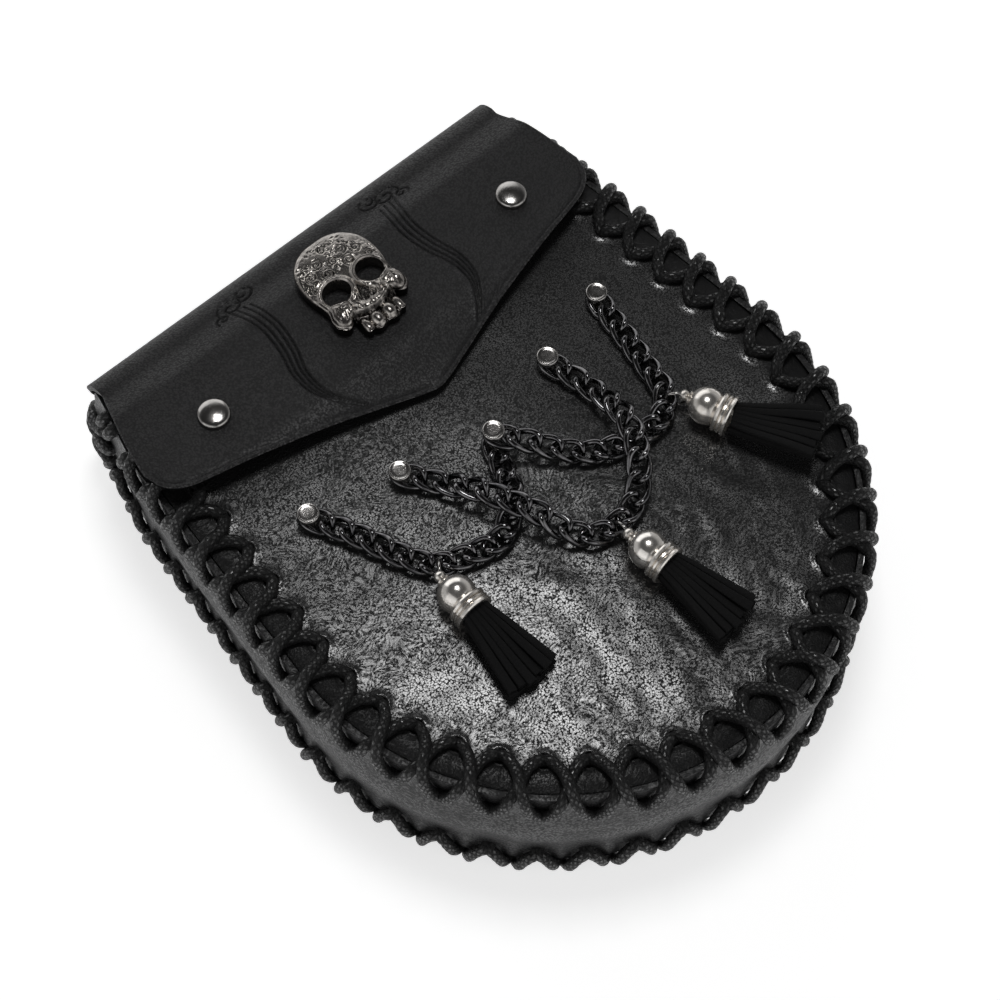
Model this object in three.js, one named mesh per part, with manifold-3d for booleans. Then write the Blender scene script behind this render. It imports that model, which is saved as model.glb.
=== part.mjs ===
// Leather belt pouch with a fold-over flap, cross laced edges, a cast skull badge and three chain swags
// with tassels. It lies on its back: +Z is the front, +Y runs up to the fold. Millimetres.
import * as THREE from 'three';
import { mergeVertices } from 'three/addons/utils/BufferGeometryUtils.js';
import Module from 'manifold-3d';

const wasm = await Module();
wasm.setup();

// Driving dimensions.
const seatGap = 0.3;            // clearance between pieces that touch on the real pouch
const pouchLength = 215.2;      // bottom of the gusset to the outside of the fold
const centreShift = -0.2;       // the lacing stands further out on the top wall than at the bottom
const frontZ = 52.5;            // outer face of the front panel
const backZ = 6.3;              // outer face of the back panel, clear of the floor by its lacing
const leather = 1.8;            // thickness of the panels and the gusset
const flapLeather = 2.0;        // thickness of the flap
const holeRowRadius = 81;       // row of lacing holes round the bottom
const sideLean = 4.8 * Math.PI / 180;   // how far each side leans in towards the fold
const laceMargin = 11.6;        // hole row to the outer face of the gusset
const lacePitch = 12.5;
const laceCord = 2.66;          // side of the square that stands for a 3 mm cord
const laceDrop = 8.8;           // lacing holes in the gusset, below the edge

const gussetRadius = holeRowRadius + laceMargin;
const laceSeat = laceCord / 2 + seatGap;
const foldY = pouchLength / 2 + centreShift;
const roundCentreY = foldY - pouchLength + gussetRadius;
const tipY = roundCentreY - holeRowRadius;   // lacing hole at the bottom tip; the tables measure from it

const panelDome = { rise: 2.0, radius: 75 };
const front = { topY: 186, rows: 10, columns: 4, holeRadius: 2.9, holeSides: 4, lastHole: 18 };
const gusset = {
  steps: 20, bulge: 1.6,
  spread: 1.8, spreadFrom: 90,              // the back edge spreads round the bottom
  pinch: 4.5, pinchFrom: 212, pinchTo: 249, // both edges draw in towards the fold
};
const fold = { bendRadius: 8, rollRadius: 9.5, rollStartZ: frontZ - 4, halfWidth: 79.0, wallHalfWidth: 75.9,
  wallTop: 43 };
const flap = { clearZ: frontZ + 8.6, apexZ: frontZ + 5.2, crown: 0.8, belly: 0.8, rows: 5, clearY: 182 };
const backLastHole = 22;

const snap = { x: 59.1, y: 165.1, radius: 5.0, rimHeight: 0.9, height: 2.6, sides: 10 };
const badge = { x: 1, y: 174.8, thickness: 5.6 };
const rivet = { capRadius: 3.4, capThickness: 1.6, postRadius: 1.0, capClear: 4.3, sides: 8 };
const link = { halfLength: 4.5, halfWidth: 2.8, twist: 1.45, wire: 1.35 };
const chain = {
  height: 2.9,                  // centre line above the panel where it lies
  endHeight: 2.6,               // at a rivet
  stack: 3.8,                   // further for the second chain on one rivet
  lift: 4.9,                    // further where it passes over another chain
  endRoom: 2.6,                 // rivet axis to the centre of the link round it
};
const loop = { y: 118, halfX: 47, half: 36, tunnelHalf: 24.4, leather: 1.5 };

const colours = {
  frontLeather: [0x17171a, 0.5, 0.0],
  flapLeather: [0x2a292c, 0.6, 0.0],
  cord: [0x0c0c0d, 0.85, 0.0],
  nickel: [0xc9c6c0, 0.2, 1.0],
  gunmetal: [0x2b2b2e, 0.25, 1.0],
  pewter: [0x6f6e6c, 0.35, 1.0],
  suede: [0x0b0b0c, 0.9, 0.0],
};

// Small helpers.
const vec = (x, y, z) => new THREE.Vector3(x, y, z);
const clamp = THREE.MathUtils.clamp;
const lerp = THREE.MathUtils.lerp;
const smooth = (value, low, high) => THREE.MathUtils.smoothstep(value, low, high);

// Merges the corners, drops empty triangles and turns the faces outwards.
function closedGeometry(source) {
  const plain = source.clone();
  for (const name of Object.keys(plain.attributes)) {
    if (name !== 'position') plain.deleteAttribute(name);
  }
  const merged = mergeVertices(plain, 1e-4);
  const from = merged.index.array;
  const at = (i) => vec().fromBufferAttribute(merged.attributes.position, i);
  const index = [];
  let volume = 0;
  for (let i = 0; i < from.length; i += 3) {
    const [a, b, c] = [from[i], from[i + 1], from[i + 2]];
    if (a === b || b === c || c === a) continue;
    index.push(a, b, c);
    volume += at(a).dot(at(b).cross(at(c)));
  }
  if (volume < 0) index.reverse();
  merged.setIndex(index);
  return merged;
}

function toManifold(source) {
  const geometry = closedGeometry(source);
  return new wasm.Manifold(new wasm.Mesh({
    numProp: 3,
    vertProperties: new Float32Array(geometry.attributes.position.array),
    triVerts: new Uint32Array(geometry.index.array),
  }));
}

function fromManifold(solid) {
  const mesh = solid.getMesh();
  const geometry = new THREE.BufferGeometry();
  geometry.setAttribute('position', new THREE.BufferAttribute(new Float32Array(mesh.vertProperties), 3));
  geometry.setIndex(Array.from(mesh.triVerts));
  return geometry;
}

const fused = (list) => fromManifold(list.map(toManifold).reduce((sum, next) => sum.add(next)));
const cut = (body, list) => fromManifold(list.map(toManifold).reduce((sum, next) => sum.subtract(next),
  toManifold(body)));
const common = (a, b) => fromManifold(toManifold(a).intersect(toManifold(b)));

function fromTriangles(corners) {
  const geometry = new THREE.BufferGeometry();
  geometry.setAttribute('position', new THREE.Float32BufferAttribute(corners.flatMap((p) => p.toArray()), 3));
  return closedGeometry(geometry);
}

// A wall between two grids of points, with its four edges closed.
function wallBetween(outer, inner) {
  const corners = [];
  const quad = (a, b, c, d) => corners.push(a, b, c, a, c, d);
  const lastRow = outer.length - 1;
  const lastColumn = outer[0].length - 1;
  for (let i = 0; i < lastRow; i++) {
    for (let j = 0; j < lastColumn; j++) {
      quad(outer[i][j], outer[i + 1][j], outer[i + 1][j + 1], outer[i][j + 1]);
      quad(inner[i][j], inner[i][j + 1], inner[i + 1][j + 1], inner[i + 1][j]);
    }
    quad(inner[i][0], inner[i + 1][0], outer[i + 1][0], outer[i][0]);
    quad(outer[i][lastColumn], outer[i + 1][lastColumn], inner[i + 1][lastColumn], inner[i][lastColumn]);
  }
  for (let j = 0; j < lastColumn; j++) {
    quad(outer[0][j], outer[0][j + 1], inner[0][j + 1], inner[0][j]);
    quad(inner[lastRow][j], inner[lastRow][j + 1], outer[lastRow][j + 1], outer[lastRow][j]);
  }
  return fromTriangles(corners);
}

// A rectangular section carried along points, mitred at each. Each point has an up direction.
function bandAlong(path, halfWidth, halfHeight, isLoop) {
  const count = path.length;
  const rings = path.map(({ point, up }, i) => {
    const before = path[isLoop ? (i + count - 1) % count : Math.max(i - 1, 0)].point;
    const after = path[isLoop ? (i + 1) % count : Math.min(i + 1, count - 1)].point;
    const arriving = (before === point ? after.clone().sub(point) : point.clone().sub(before)).normalize();
    const leaving = (after === point ? arriving.clone() : after.clone().sub(point)).normalize();
    const along = arriving.clone().add(leaving).normalize();
    const rise = up.clone().addScaledVector(along, -up.dot(along)).normalize();
    const side = along.clone().cross(rise);
    const turn = leaving.clone().sub(arriving);
    const mitre = Math.min(1 / Math.max(along.dot(leaving), 0.1), 1.6);
    const sideways = Math.abs(turn.dot(side)) > Math.abs(turn.dot(rise));
    side.multiplyScalar(halfWidth * (sideways ? mitre : 1));
    rise.multiplyScalar(halfHeight * (sideways ? 1 : mitre));
    return [[1, 1], [-1, 1], [-1, -1], [1, -1]].map(([s, r]) =>
      point.clone().addScaledVector(side, s).addScaledVector(rise, r));
  });
  const corners = [];
  const quad = (a, b, c, d) => corners.push(a, b, c, a, c, d);
  for (let i = 0; i < (isLoop ? count : count - 1); i++) {
    const [here, next] = [rings[i], rings[(i + 1) % count]];
    for (let k = 0; k < 4; k++) quad(here[k], next[k], next[(k + 1) % 4], here[(k + 1) % 4]);
  }
  if (!isLoop) {
    const [first, last] = [rings[0], rings[count - 1]];
    quad(first[0], first[1], first[2], first[3]);
    quad(last[3], last[2], last[1], last[0]);
  }
  return fromTriangles(corners);
}

const latheOf = (rows, sides) => closedGeometry(new THREE.LatheGeometry(
  rows.map(([r, z]) => new THREE.Vector2(r, z)), sides).rotateX(Math.PI / 2));

const group = new THREE.Group();
function addPiece(name, geometry, colour) {
  const [color, roughness, metalness] = colours[colour];
  const mesh = new THREE.Mesh(geometry, new THREE.MeshStandardMaterial({ color, roughness, metalness }));
  mesh.name = name;
  group.add(mesh);
  return mesh;
}

// The outline: a round bottom and two straight sides that lean in.
const roundTravel = holeRowRadius * (Math.PI / 2 + sideLean);   // hole row, from the tip to the sides

// Frame of the outline at a distance along the hole row from the bottom tip, negative to the left.
function outlineFrame(travel) {
  const onRound = clamp(travel, -roundTravel, roundTravel);
  const turn = onRound / holeRowRadius;
  const along = vec(Math.cos(turn), Math.sin(turn), 0);
  const base = vec(0, roundCentreY, 0).addScaledVector(along, travel - onRound);
  return { base, along, normal: vec(Math.sin(turn), -Math.cos(turn), 0) };
}

const outlinePoint = (travel, radius, z) => {
  const { base, normal } = outlineFrame(travel);
  return base.addScaledVector(normal, radius).setZ(z);
};

// Distance along the hole row at which the line of a given radius reaches a height on the sides.
function travelAt(y, radius) {
  const { along, normal } = outlineFrame(roundTravel);
  return roundTravel + (y - roundCentreY - normal.y * radius) / along.y;
}

// Outer face of the gusset at a height, without its bulge.
function wallFace(travel, z) {
  const reach = Math.abs(travel);
  const fade = clamp((reach - gusset.spreadFrom) / (gusset.pinchFrom - gusset.spreadFrom), 0, 1);
  const toBack = clamp((frontZ - z) / (frontZ - backZ), 0, 1);
  return gussetRadius + gusset.spread * (1 - fade) * toBack - gusset.pinch * smooth(reach, gusset.pinchFrom, gusset.pinchTo);
}

const panelEdge = (travel, z) => wallFace(travel, z) - leather - seatGap;
const bendStart = travelAt(foldY - fold.bendRadius, gussetRadius - gusset.pinch);

function domeHeight(x, y) {
  const reach = y < roundCentreY ? Math.hypot(x, y - roundCentreY) : Math.abs(x);
  return panelDome.rise * Math.max(0, 1 - (reach / panelDome.radius) ** 2) ** 2;
}

const frontSurface = (x, y) => frontZ + domeHeight(x, y);

// Front panel.
function frontPanel() {
  const topTravel = travelAt(tipY + front.topY, gussetRadius);
  const travels = [];
  for (let i = 0; i <= front.rows; i++) travels.push(roundTravel * i / front.rows);
  travels.push(lerp(roundTravel, gusset.pinchFrom, 0.5), gusset.pinchFrom, topTravel);
  const surface = (drop) => travels.map((travel) => {
    const edge = outlinePoint(travel, panelEdge(travel, frontZ), 0);
    return Array.from({ length: front.columns + 1 }, (_, j) => {
      const x = lerp(-edge.x, edge.x, j / front.columns);
      return vec(x, edge.y, frontSurface(x, edge.y) - drop);
    });
  });
  const holes = [];
  for (let i = -front.lastHole; i <= front.lastHole; i++) {
    const punch = new THREE.CylinderGeometry(front.holeRadius, front.holeRadius, 6, front.holeSides);
    const at = outlinePoint(i * lacePitch, holeRowRadius, frontZ);
    holes.push(punch.rotateX(Math.PI / 2).translate(at.x, at.y, at.z));
  }
  return cut(wallBetween(surface(0), surface(leather)), holes);
}

// Gusset: the wall round the sides and bottom.
function gussetWall() {
  const stations = [];                     // [travel, lower edge, upper edge, share of the bulge]
  for (let i = 0; i <= gusset.steps; i++) {
    stations.push([lerp(-roundTravel, roundTravel, i / gusset.steps), backZ, frontZ, 1]);
  }
  const ends = [[gusset.pinchFrom, backZ, frontZ, 0.4], [gusset.pinchFrom + 14, backZ, frontZ, 0]];
  // Round the lower corner, and clear of the roll at the upper one.
  for (const [angle, high] of [[0, frontZ], [30, frontZ], [60, 40], [90, 39]]) {
    const bend = angle * Math.PI / 180;
    const low = backZ + fold.bendRadius * (1 - Math.cos(bend));
    ends.push([bendStart + fold.bendRadius * Math.sin(bend), low, high, 0]);
  }
  for (const [travel, low, high, share] of ends) {
    stations.push([travel, low, high, share]);
    stations.unshift([-travel, low, high, share]);
  }
  const bulges = [0, 0, gusset.bulge, 0, 0];
  const face = (inset) => stations.map(([travel, low, high, share]) => {
    const levels = [low, backZ + 14.5, (backZ + frontZ) / 2, frontZ - 14.5, high];
    return levels.map((z, k) => outlinePoint(travel, wallFace(travel, z) - inset + bulges[k] * share, z));
  });
  return wallBetween(face(0), face(leather));
}

// Back panel, top wall and flap: one piece of leather.
function backPlate() {
  const shape = new THREE.Shape();
  const end = travelAt(foldY - fold.bendRadius + 0.2, panelEdge(bendStart, backZ));
  const ends = [gusset.pinchFrom, gusset.pinchFrom + 14, end];
  const travels = ends.map((travel) => -travel).reverse();
  for (let i = 0; i <= gusset.steps; i++) travels.push(lerp(-roundTravel, roundTravel, i / gusset.steps));
  travels.push(...ends);
  shape.setFromPoints(travels.map((travel) => {
    const p = outlinePoint(travel, panelEdge(travel, backZ), 0);
    return new THREE.Vector2(p.x, p.y);
  }));
  return new THREE.ExtrudeGeometry(shape, { depth: leather, bevelEnabled: false }).translate(0, 0, backZ);
}

// Top wall with its lower bend and the roll at the fold, a section in Y and Z run across the pouch.
function foldWall() {
  const arc = (y, z, radius, from, to, steps) => Array.from({ length: steps + 1 }, (_, i) => {
    const angle = lerp(from, to, i / steps) * Math.PI / 180;
    return [y + radius * Math.cos(angle), z + radius * Math.sin(angle)];
  });
  const line = (inset, rollInset) => [
    ...arc(foldY - fold.bendRadius, backZ + fold.bendRadius, fold.bendRadius - inset, -90, 0, 3),
    [foldY - inset, fold.wallTop],
    ...arc(foldY - fold.rollRadius, fold.rollStartZ, fold.rollRadius - rollInset, 0, 90, 5),
  ];
  // The wall stands between the ends of the gusset, the roll reaches out over them.
  const across = (section) => section.map(([y, z]) => {
    const half = lerp(fold.wallHalfWidth, fold.halfWidth, smooth(z, fold.wallTop, 50));
    return [-half, half].map((x) => vec(x, y, z));
  });
  return wallBetween(across(line(0, 0)), across(line(leather, flapLeather)));
}

// Right half of the flap's free edge, from the apex to the point where the side begins.
const flapEdge = [
  { x: 0, y: 129.8 },
  { x: 6, y: 131.2 },
  { x: 20, y: 135.9 },
  { x: 40, y: 142.0 },
  { x: 60, y: 147.2 },
  { x: 76, y: 150.9 },
  { x: 83, y: 155.0 },
  { x: 86, y: 162.5 },
];

// Top of the flap, at a distance above the bottom hole.
function flapTop(x, y) {
  const startZ = fold.rollStartZ + fold.rollRadius;
  const startY = foldY - fold.rollRadius - tipY;
  const lifted = lerp(flap.clearZ, startZ, smooth(y, flap.clearY, startY));
  const lowered = lerp(flap.apexZ, flap.clearZ, smooth(y, flapEdge[0].y, 150));
  const crown = flap.crown * Math.max(0, 1 - (x / 80) ** 2) * smooth(startY - y, 0, 20);
  return Math.min(lifted, lowered) + crown;
}

function flapSheet() {
  const startY = foldY - fold.rollRadius - tipY + 0.2;
  const edge = [...flapEdge.slice(1).reverse().map(({ x, y }) => ({ x: -x, y })), ...flapEdge];
  const last = edge[edge.length - 1].x;
  const surface = (drop) => Array.from({ length: flap.rows + 1 }, (_, i) => {
    const v = i / flap.rows;
    return edge.map((end) => {
      const share = end.x / last;
      const belly = Math.abs(share) ** 6 * flap.belly * Math.sin(Math.PI * v) * Math.sign(share);
      const x = lerp(share * fold.halfWidth, end.x, v) + belly;
      const y = lerp(startY, end.y, v);
      return vec(x, tipY + y, flapTop(x, Math.min(y, startY - 0.2)) - drop);
    });
  });
  return wallBetween(surface(0), surface(flapLeather));
}

const backAndFlap = () => fused([backPlate(), foldWall(), flapSheet()]);

// Lacing: one cord out and back along an edge, crossing itself between the holes.
function faceNormal(travel) {
  const { normal, along } = outlineFrame(travel);
  return normal.addScaledVector(along, wallFace(travel - 1, frontZ) / 2 - wallFace(travel + 1, frontZ) / 2).normalize();
}

// Corner of an edge at a number of hole pitches from the bottom tip, with both outward normals.
function frontCorner(index) {
  const travel = index * lacePitch;
  return {
    corner: outlinePoint(travel, wallFace(travel, frontZ), frontZ),
    margin: wallFace(travel, frontZ) - holeRowRadius,
    panelNormal: vec(0, 0, 1),
    wallNormal: faceNormal(travel),
    inward: outlineFrame(travel).normal.negate(),
    onFace: (drop) => outlinePoint(travel, wallFace(travel, frontZ - drop), frontZ - drop),
  };
}

function backCorner(index) {
  const travel = index * lacePitch;
  const past = Math.max(0, Math.abs(travel) - bendStart);
  const bend = Math.min(past / fold.bendRadius, Math.PI / 2);
  const climb = Math.max(0, past - fold.bendRadius * Math.PI / 2);
  const run = Math.min(Math.abs(travel), bendStart) + fold.bendRadius * Math.sin(bend);
  const z = backZ + fold.bendRadius * (1 - Math.cos(bend)) + climb;
  const { normal } = outlineFrame(travel);
  const panelNormal = vec(0, Math.sin(bend), -Math.cos(bend));
  return {
    corner: outlinePoint(Math.sign(travel) * run, wallFace(run, z), z),
    margin: wallFace(run, z) - holeRowRadius,
    panelNormal,
    wallNormal: faceNormal(Math.sign(travel) * run),
    inward: panelNormal.clone().multiplyScalar(normal.dot(panelNormal)).sub(normal).normalize(),
    onFace: (drop) => {
      const [at, height] = [run - drop * Math.sin(bend), z + drop * Math.cos(bend)];
      return outlinePoint(Math.sign(travel) * at, wallFace(at, height), height);
    },
  };
}

// Where a strand runs, in hole pitches along the edge from its own hole: one leans forward and passes over
// the next one, which leans back. They cross halfway between the holes, close to the edge.
const strand = { edge: 0.66, cross: 0.5, crossInset: 2.4 };

function lacing(cornerAt, lastHole, windings) {
  const onPanel = (index, inset, height) => {
    const { corner, panelNormal, inward } = cornerAt(index);
    return {
      point: corner.addScaledVector(inward, inset).addScaledVector(panelNormal, height),
      up: panelNormal,
    };
  };
  const onWall = (index, height) => {
    const { onFace, wallNormal } = cornerAt(index);
    return { point: onFace(laceDrop).addScaledVector(wallNormal, height + 0.25), up: wallNormal };
  };
  const overEdge = (index, clear = 0) => {
    const { corner, panelNormal, wallNormal } = cornerAt(index);
    const up = panelNormal.clone().add(wallNormal);
    return { point: corner.addScaledVector(up, laceSeat + 0.5 + clear), up };
  };
  // More corners between a hole and a point on the panel, where the panel bends between them.
  const roundBend = (i, index, inset, height) => {
    const { margin } = cornerAt(i);
    const bends = cornerAt(i).panelNormal.angleTo(cornerAt(index).panelNormal) > 0.2;
    return (bends ? [0.33, 0.67] : []).map((share) => onPanel(lerp(i, index, share),
      lerp(margin, inset, share), lerp(laceSeat, height, share) + 0.6));
  };
  const hole = (i) => onPanel(i, cornerAt(i).margin, laceSeat);
  const overHeight = laceSeat + laceCord + seatGap;
  const forward = (i) => [
    ...roundBend(i, i + strand.cross, strand.crossInset, overHeight),
    onPanel(i + strand.cross, strand.crossInset, overHeight),
    overEdge(i + strand.edge),
    onWall(i + 1, laceSeat),
  ];
  const back = (i) => [
    ...roundBend(i, i - strand.edge, 0, laceSeat),
    overEdge(i - strand.edge),
  ];
  // Beyond its last hole the cord only winds over the edge.
  const winding = (side) => [hole(side * lastHole), ...Array.from({ length: windings }, (_, k) => [
    overEdge(side * (lastHole + 0.8 * k + 0.45), 0.4), onWall(side * (lastHole + 0.8 * k + 0.85), laceSeat + 0.4),
  ]).flat()];
  const path = winding(-1).reverse();
  for (let i = -lastHole; i < lastHole; i += 2) path.push(...forward(i), ...back(i + 2).reverse(), hole(i + 2));
  path.push(overEdge(lastHole + 0.3), onWall(lastHole + 0.35, laceSeat));
  for (let i = lastHole - 1; i > -lastHole; i -= 2) path.push(...forward(i).reverse(), hole(i), ...back(i));
  const bands = windings ? [path, winding(1)] : [path];
  return fused(bands.map((band) => bandAlong(band, laceCord / 2, laceCord / 2, false)));
}

// Belt loop: a plain leather band on the back.
function beltLoop() {
  const tab = { top: backZ - seatGap, bottom: backZ - seatGap - loop.leather };
  const line = [
    [-loop.half, tab.bottom], [-loop.tunnelHalf - 6.5, tab.bottom], [-loop.tunnelHalf - 0.6, 0],
    [loop.tunnelHalf + 0.6, 0], [loop.tunnelHalf + 6.5, tab.bottom], [loop.half, tab.bottom],
    [loop.half, tab.top], [loop.tunnelHalf + 5.8, tab.top], [loop.tunnelHalf, loop.leather],
    [-loop.tunnelHalf, loop.leather], [-loop.tunnelHalf - 5.8, tab.top], [-loop.half, tab.top],
  ];
  const shape = new THREE.Shape(line.map(([y, z]) => new THREE.Vector2(tipY + loop.y + y, z)));
  const strip = new THREE.ExtrudeGeometry(shape, { depth: 2 * loop.halfX, bevelEnabled: false });
  return closedGeometry(strip.applyMatrix4(new THREE.Matrix4().set(
    0, 0, 1, -loop.halfX,
    1, 0, 0, 0,
    0, 1, 0, 0,
    0, 0, 0, 1)));
}

// Snap caps and skull badge on the flap.
const snapCap = () => latheOf([
  [0, 0], [snap.radius, 0], [snap.radius, snap.rimHeight], [snap.radius * 0.85, snap.rimHeight + 0.5],
  [snap.radius * 0.5, snap.height - 0.25], [0, snap.height],
], snap.sides);

function skullBadge() {
  const ball = (x, y, z, rx, ry, rz) => new THREE.SphereGeometry(1, 9, 6).scale(rx, ry, rz).translate(x, y, z);
  const forms = [
    ball(0, 5.2, 0, 13.2, 12.6, badge.thickness),             // cranium
    ball(0, -4.6, 0.4, 12.6, 7.2, badge.thickness - 1.2),     // brow
    ball(-9.6, -8.2, 0.6, 4.0, 4.2, 3.8),                     // cheek bones
    ball(9.6, -8.2, 0.6, 4.0, 4.2, 3.8),
    ball(0, -11.2, 0, 7.8, 6.4, badge.thickness - 0.8),       // upper jaw
  ];
  for (let i = 0; i < 4; i++) {
    const tooth = new THREE.BoxGeometry(3.1, 5.2, 3.4);
    forms.push(tooth.translate((i - 1.5) * 3.4, -14.8, 1.9));
  }
  const sockets = [-1, 1].map((side) => new THREE.CylinderGeometry(4.1, 3.4, 30, 7)
    .rotateX(Math.PI / 2).rotateZ(side * 0.2).translate(side * 6.5, -2.8, 0));
  const nose = new THREE.CylinderGeometry(2.2, 2.2, 5, 3).rotateX(Math.PI / 2).translate(0, -8.0, 5.6);
  const slab = new THREE.BoxGeometry(60, 60, 20).translate(0, 0, 10);
  return common(cut(fused(forms), [...sockets, nose]), slab);
}

// Rivets that hold the chains.
const rivets = [
  { x: -58.2, y: 123.2, chains: 1 },
  { x: -29.4, y: 115.8, chains: 1 },
  { x: -1.4, y: 106.0, chains: 2 },
  { x: 29.4, y: 115.8, chains: 1 },
  { x: 56.6, y: 123.1, chains: 1 },
];

function chainRivet({ chains }) {
  const under = rivet.capClear + (chains - 1) * chain.stack;
  const top = under + rivet.capThickness;
  return latheOf([
    [0, 0], [rivet.postRadius, 0], [rivet.postRadius, under],
    [rivet.capRadius, under], [rivet.capRadius, top - 0.5], [rivet.capRadius - 0.6, top], [0, top],
  ], rivet.sides);
}

// Chains.
// Each route is the chain's centre line seen from the front, from one rivet to the other.
const swags = [
  {
    name: 'left', links: 15, single: 9, stretches: [3, 3], crossings: [], startStack: 0,
    route: [
      [-58.2, 123.2], [-54.6, 116.4], [-50.4, 107.6], [-46.0, 96.2], [-40.6, 87.4], [-31.0, 82.9],
      [-20.5, 80.8], [-13.4, 85.0], [-8.6, 90.0], [-5.2, 97.4], [-1.4, 106.0],
    ],
  },
  {
    name: 'middle', links: 21, single: 12, stretches: [5, 4], crossings: [[-12.6, 85.9], [29.6, 78.9]], startStack: 0,
    route: [
      [-29.4, 115.8], [-24.6, 109.5], [-19.2, 100.5], [-14.4, 89.9], [-10.0, 80.6], [-6.0, 70.9],
      [0.6, 63.4], [9.4, 61.8], [18.2, 64.7], [25.6, 72.1], [30.6, 80.5], [32.8, 90.7], [32.8, 101.7],
      [29.4, 115.8],
    ],
  },
  {
    name: 'right', links: 16, single: 9, stretches: [4, 3], crossings: [], startStack: chain.stack,
    route: [
      [-1.4, 106.0], [4.6, 98.6], [10.8, 90.9], [20.0, 82.9], [31.0, 79.2], [41.5, 79.0], [48.8, 84.6],
      [51.6, 95.3], [54.2, 108.5], [56.6, 123.1],
    ],
  },
];

// Height of a chain's centre line above the panel, from its ends, its rivets and what it passes over.
function chainRise(swag, point) {
  const toStart = point.distanceTo(vec(swag.route[0][0], tipY + swag.route[0][1], 0));
  const last = swag.route[swag.route.length - 1];
  const toEnd = point.distanceTo(vec(last[0], tipY + last[1], 0));
  let rise = lerp(chain.endHeight, chain.height, smooth(Math.min(toStart, toEnd), 2, 12));
  rise += swag.startStack * (1 - smooth(toStart, 6, 28));
  for (const [x, y] of swag.crossings) {
    rise = Math.max(rise, chain.height + chain.lift * (1 - smooth(point.distanceTo(vec(x, tipY + y, 0)), 6, 24)));
  }
  return rise;
}

// A curb link: eight corners, its two ends twisted against each other. A flat end goes round a rivet.
function linkShape(flatStart, flatEnd) {
  const { halfLength: a, halfWidth: b, twist } = link;
  const quarter = [[1, 0.45, 1], [0.55, 1, 0.75]];
  const flat = (sign) => ((sign > 0 ? flatEnd : flatStart) ? 0 : 1);
  const corners = [
    ...quarter.map(([x, y, z]) => [x, y, z * flat(1)]),
    ...quarter.map(([x, y, z]) => [-x, y, -z * flat(-1)]).reverse(),
    ...quarter.map(([x, y, z]) => [-x, -y, z * flat(-1)]),
    ...quarter.map(([x, y, z]) => [x, -y, -z * flat(1)]).reverse(),
  ];
  const path = corners.map(([x, y, z]) => ({ point: vec(a * x, b * y, twist * z), up: vec(0, 0, 1) }));
  return bandAlong(path, link.wire / 2, link.wire / 2, true);
}

// Frame of each link on its chain: along X, flat in XY, centred.
function linkFrames(swag) {
  const curve = new THREE.CatmullRomCurve3(swag.route.map(([x, y]) => vec(x, tipY + y, 0)), false, 'centripetal');
  const total = curve.getLength();
  const pitch = (total - 2 * chain.endRoom) / (swag.links - 1);
  const place = (travel) => {
    const point = curve.getPointAt(clamp(travel / total, 0, 1));
    return point.setZ(frontSurface(point.x, point.y) + chainRise(swag, point));
  };
  return Array.from({ length: swag.links }, (_, i) => {
    const travel = chain.endRoom + i * pitch;
    const along = place(travel + 2).sub(place(travel - 2)).normalize();
    const side = vec(0, 0, 1).cross(along).normalize();
    return new THREE.Matrix4().makeBasis(along, side, along.clone().cross(side)).setPosition(place(travel));
  });
}

// Adds a chain: its first links one by one, then the rest in welded stretches. Returns the link frames.
function addChain(swag) {
  const frames = linkFrames(swag);
  const shapes = frames.map((frame, i) => linkShape(i === 0, i === frames.length - 1).applyMatrix4(frame));
  for (let i = 0; i < swag.single; i++) {
    addPiece(`chain_${swag.name}_link_${String(i + 1).padStart(2, '0')}`, closedGeometry(shapes[i]), 'gunmetal');
  }
  let first = swag.single;
  swag.stretches.forEach((length, k) => {
    const parts = shapes.slice(first, first + length);
    for (let i = first; i < first + length - 1; i++) {
      const middle = vec().setFromMatrixPosition(frames[i]);
      middle.add(vec().setFromMatrixPosition(frames[i + 1])).multiplyScalar(0.5);
      const weld = new THREE.BoxGeometry(2.6, 0.8, 0.8);
      parts.push(weld.applyMatrix4(frames[i].clone().setPosition(middle)));
    }
    addPiece(`chain_${swag.name}_stretch_${k + 1}`, fused(parts), 'gunmetal');
    first += length;
  });
  return frames;
}

// Tassels.
const tassel = {
  ballRadius: 5.8, axisHeight: 6.4, sides: 8,
  eye: { reach: 2.85, height: 6.0, radius: 2.0, wire: 0.45 },   // reach from the side wire of the link
  ring: { reach: 0.5, height: 4.3, radius: 3.2, wire: 0.35 },
  ballX: 7.4, collarX: 14.8, skirt: 26.5, strips: 5,               // from the eye
};

// Centre of each ball, the way the tassel points and how far its skirt turns off and rises at the tip.
const tassels = [
  { name: 'left', x: -40.5, y: 75.1, turn: 0, skirtTurn: 0, tipRise: 0 },
  { name: 'middle', x: 4.1, y: 51.0, turn: 6, skirtTurn: 3, tipRise: 0 },
  { name: 'right', x: 51.2, y: 71.1, turn: 20, skirtTurn: 14, tipRise: 4.5 },
];

const uprightFrame = (origin, along) => {
  const ground = origin.clone().setZ(frontSurface(origin.x, origin.y));
  return new THREE.Matrix4().makeBasis(along, vec(0, 0, 1).cross(along), vec(0, 0, 1)).setPosition(ground);
};

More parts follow.
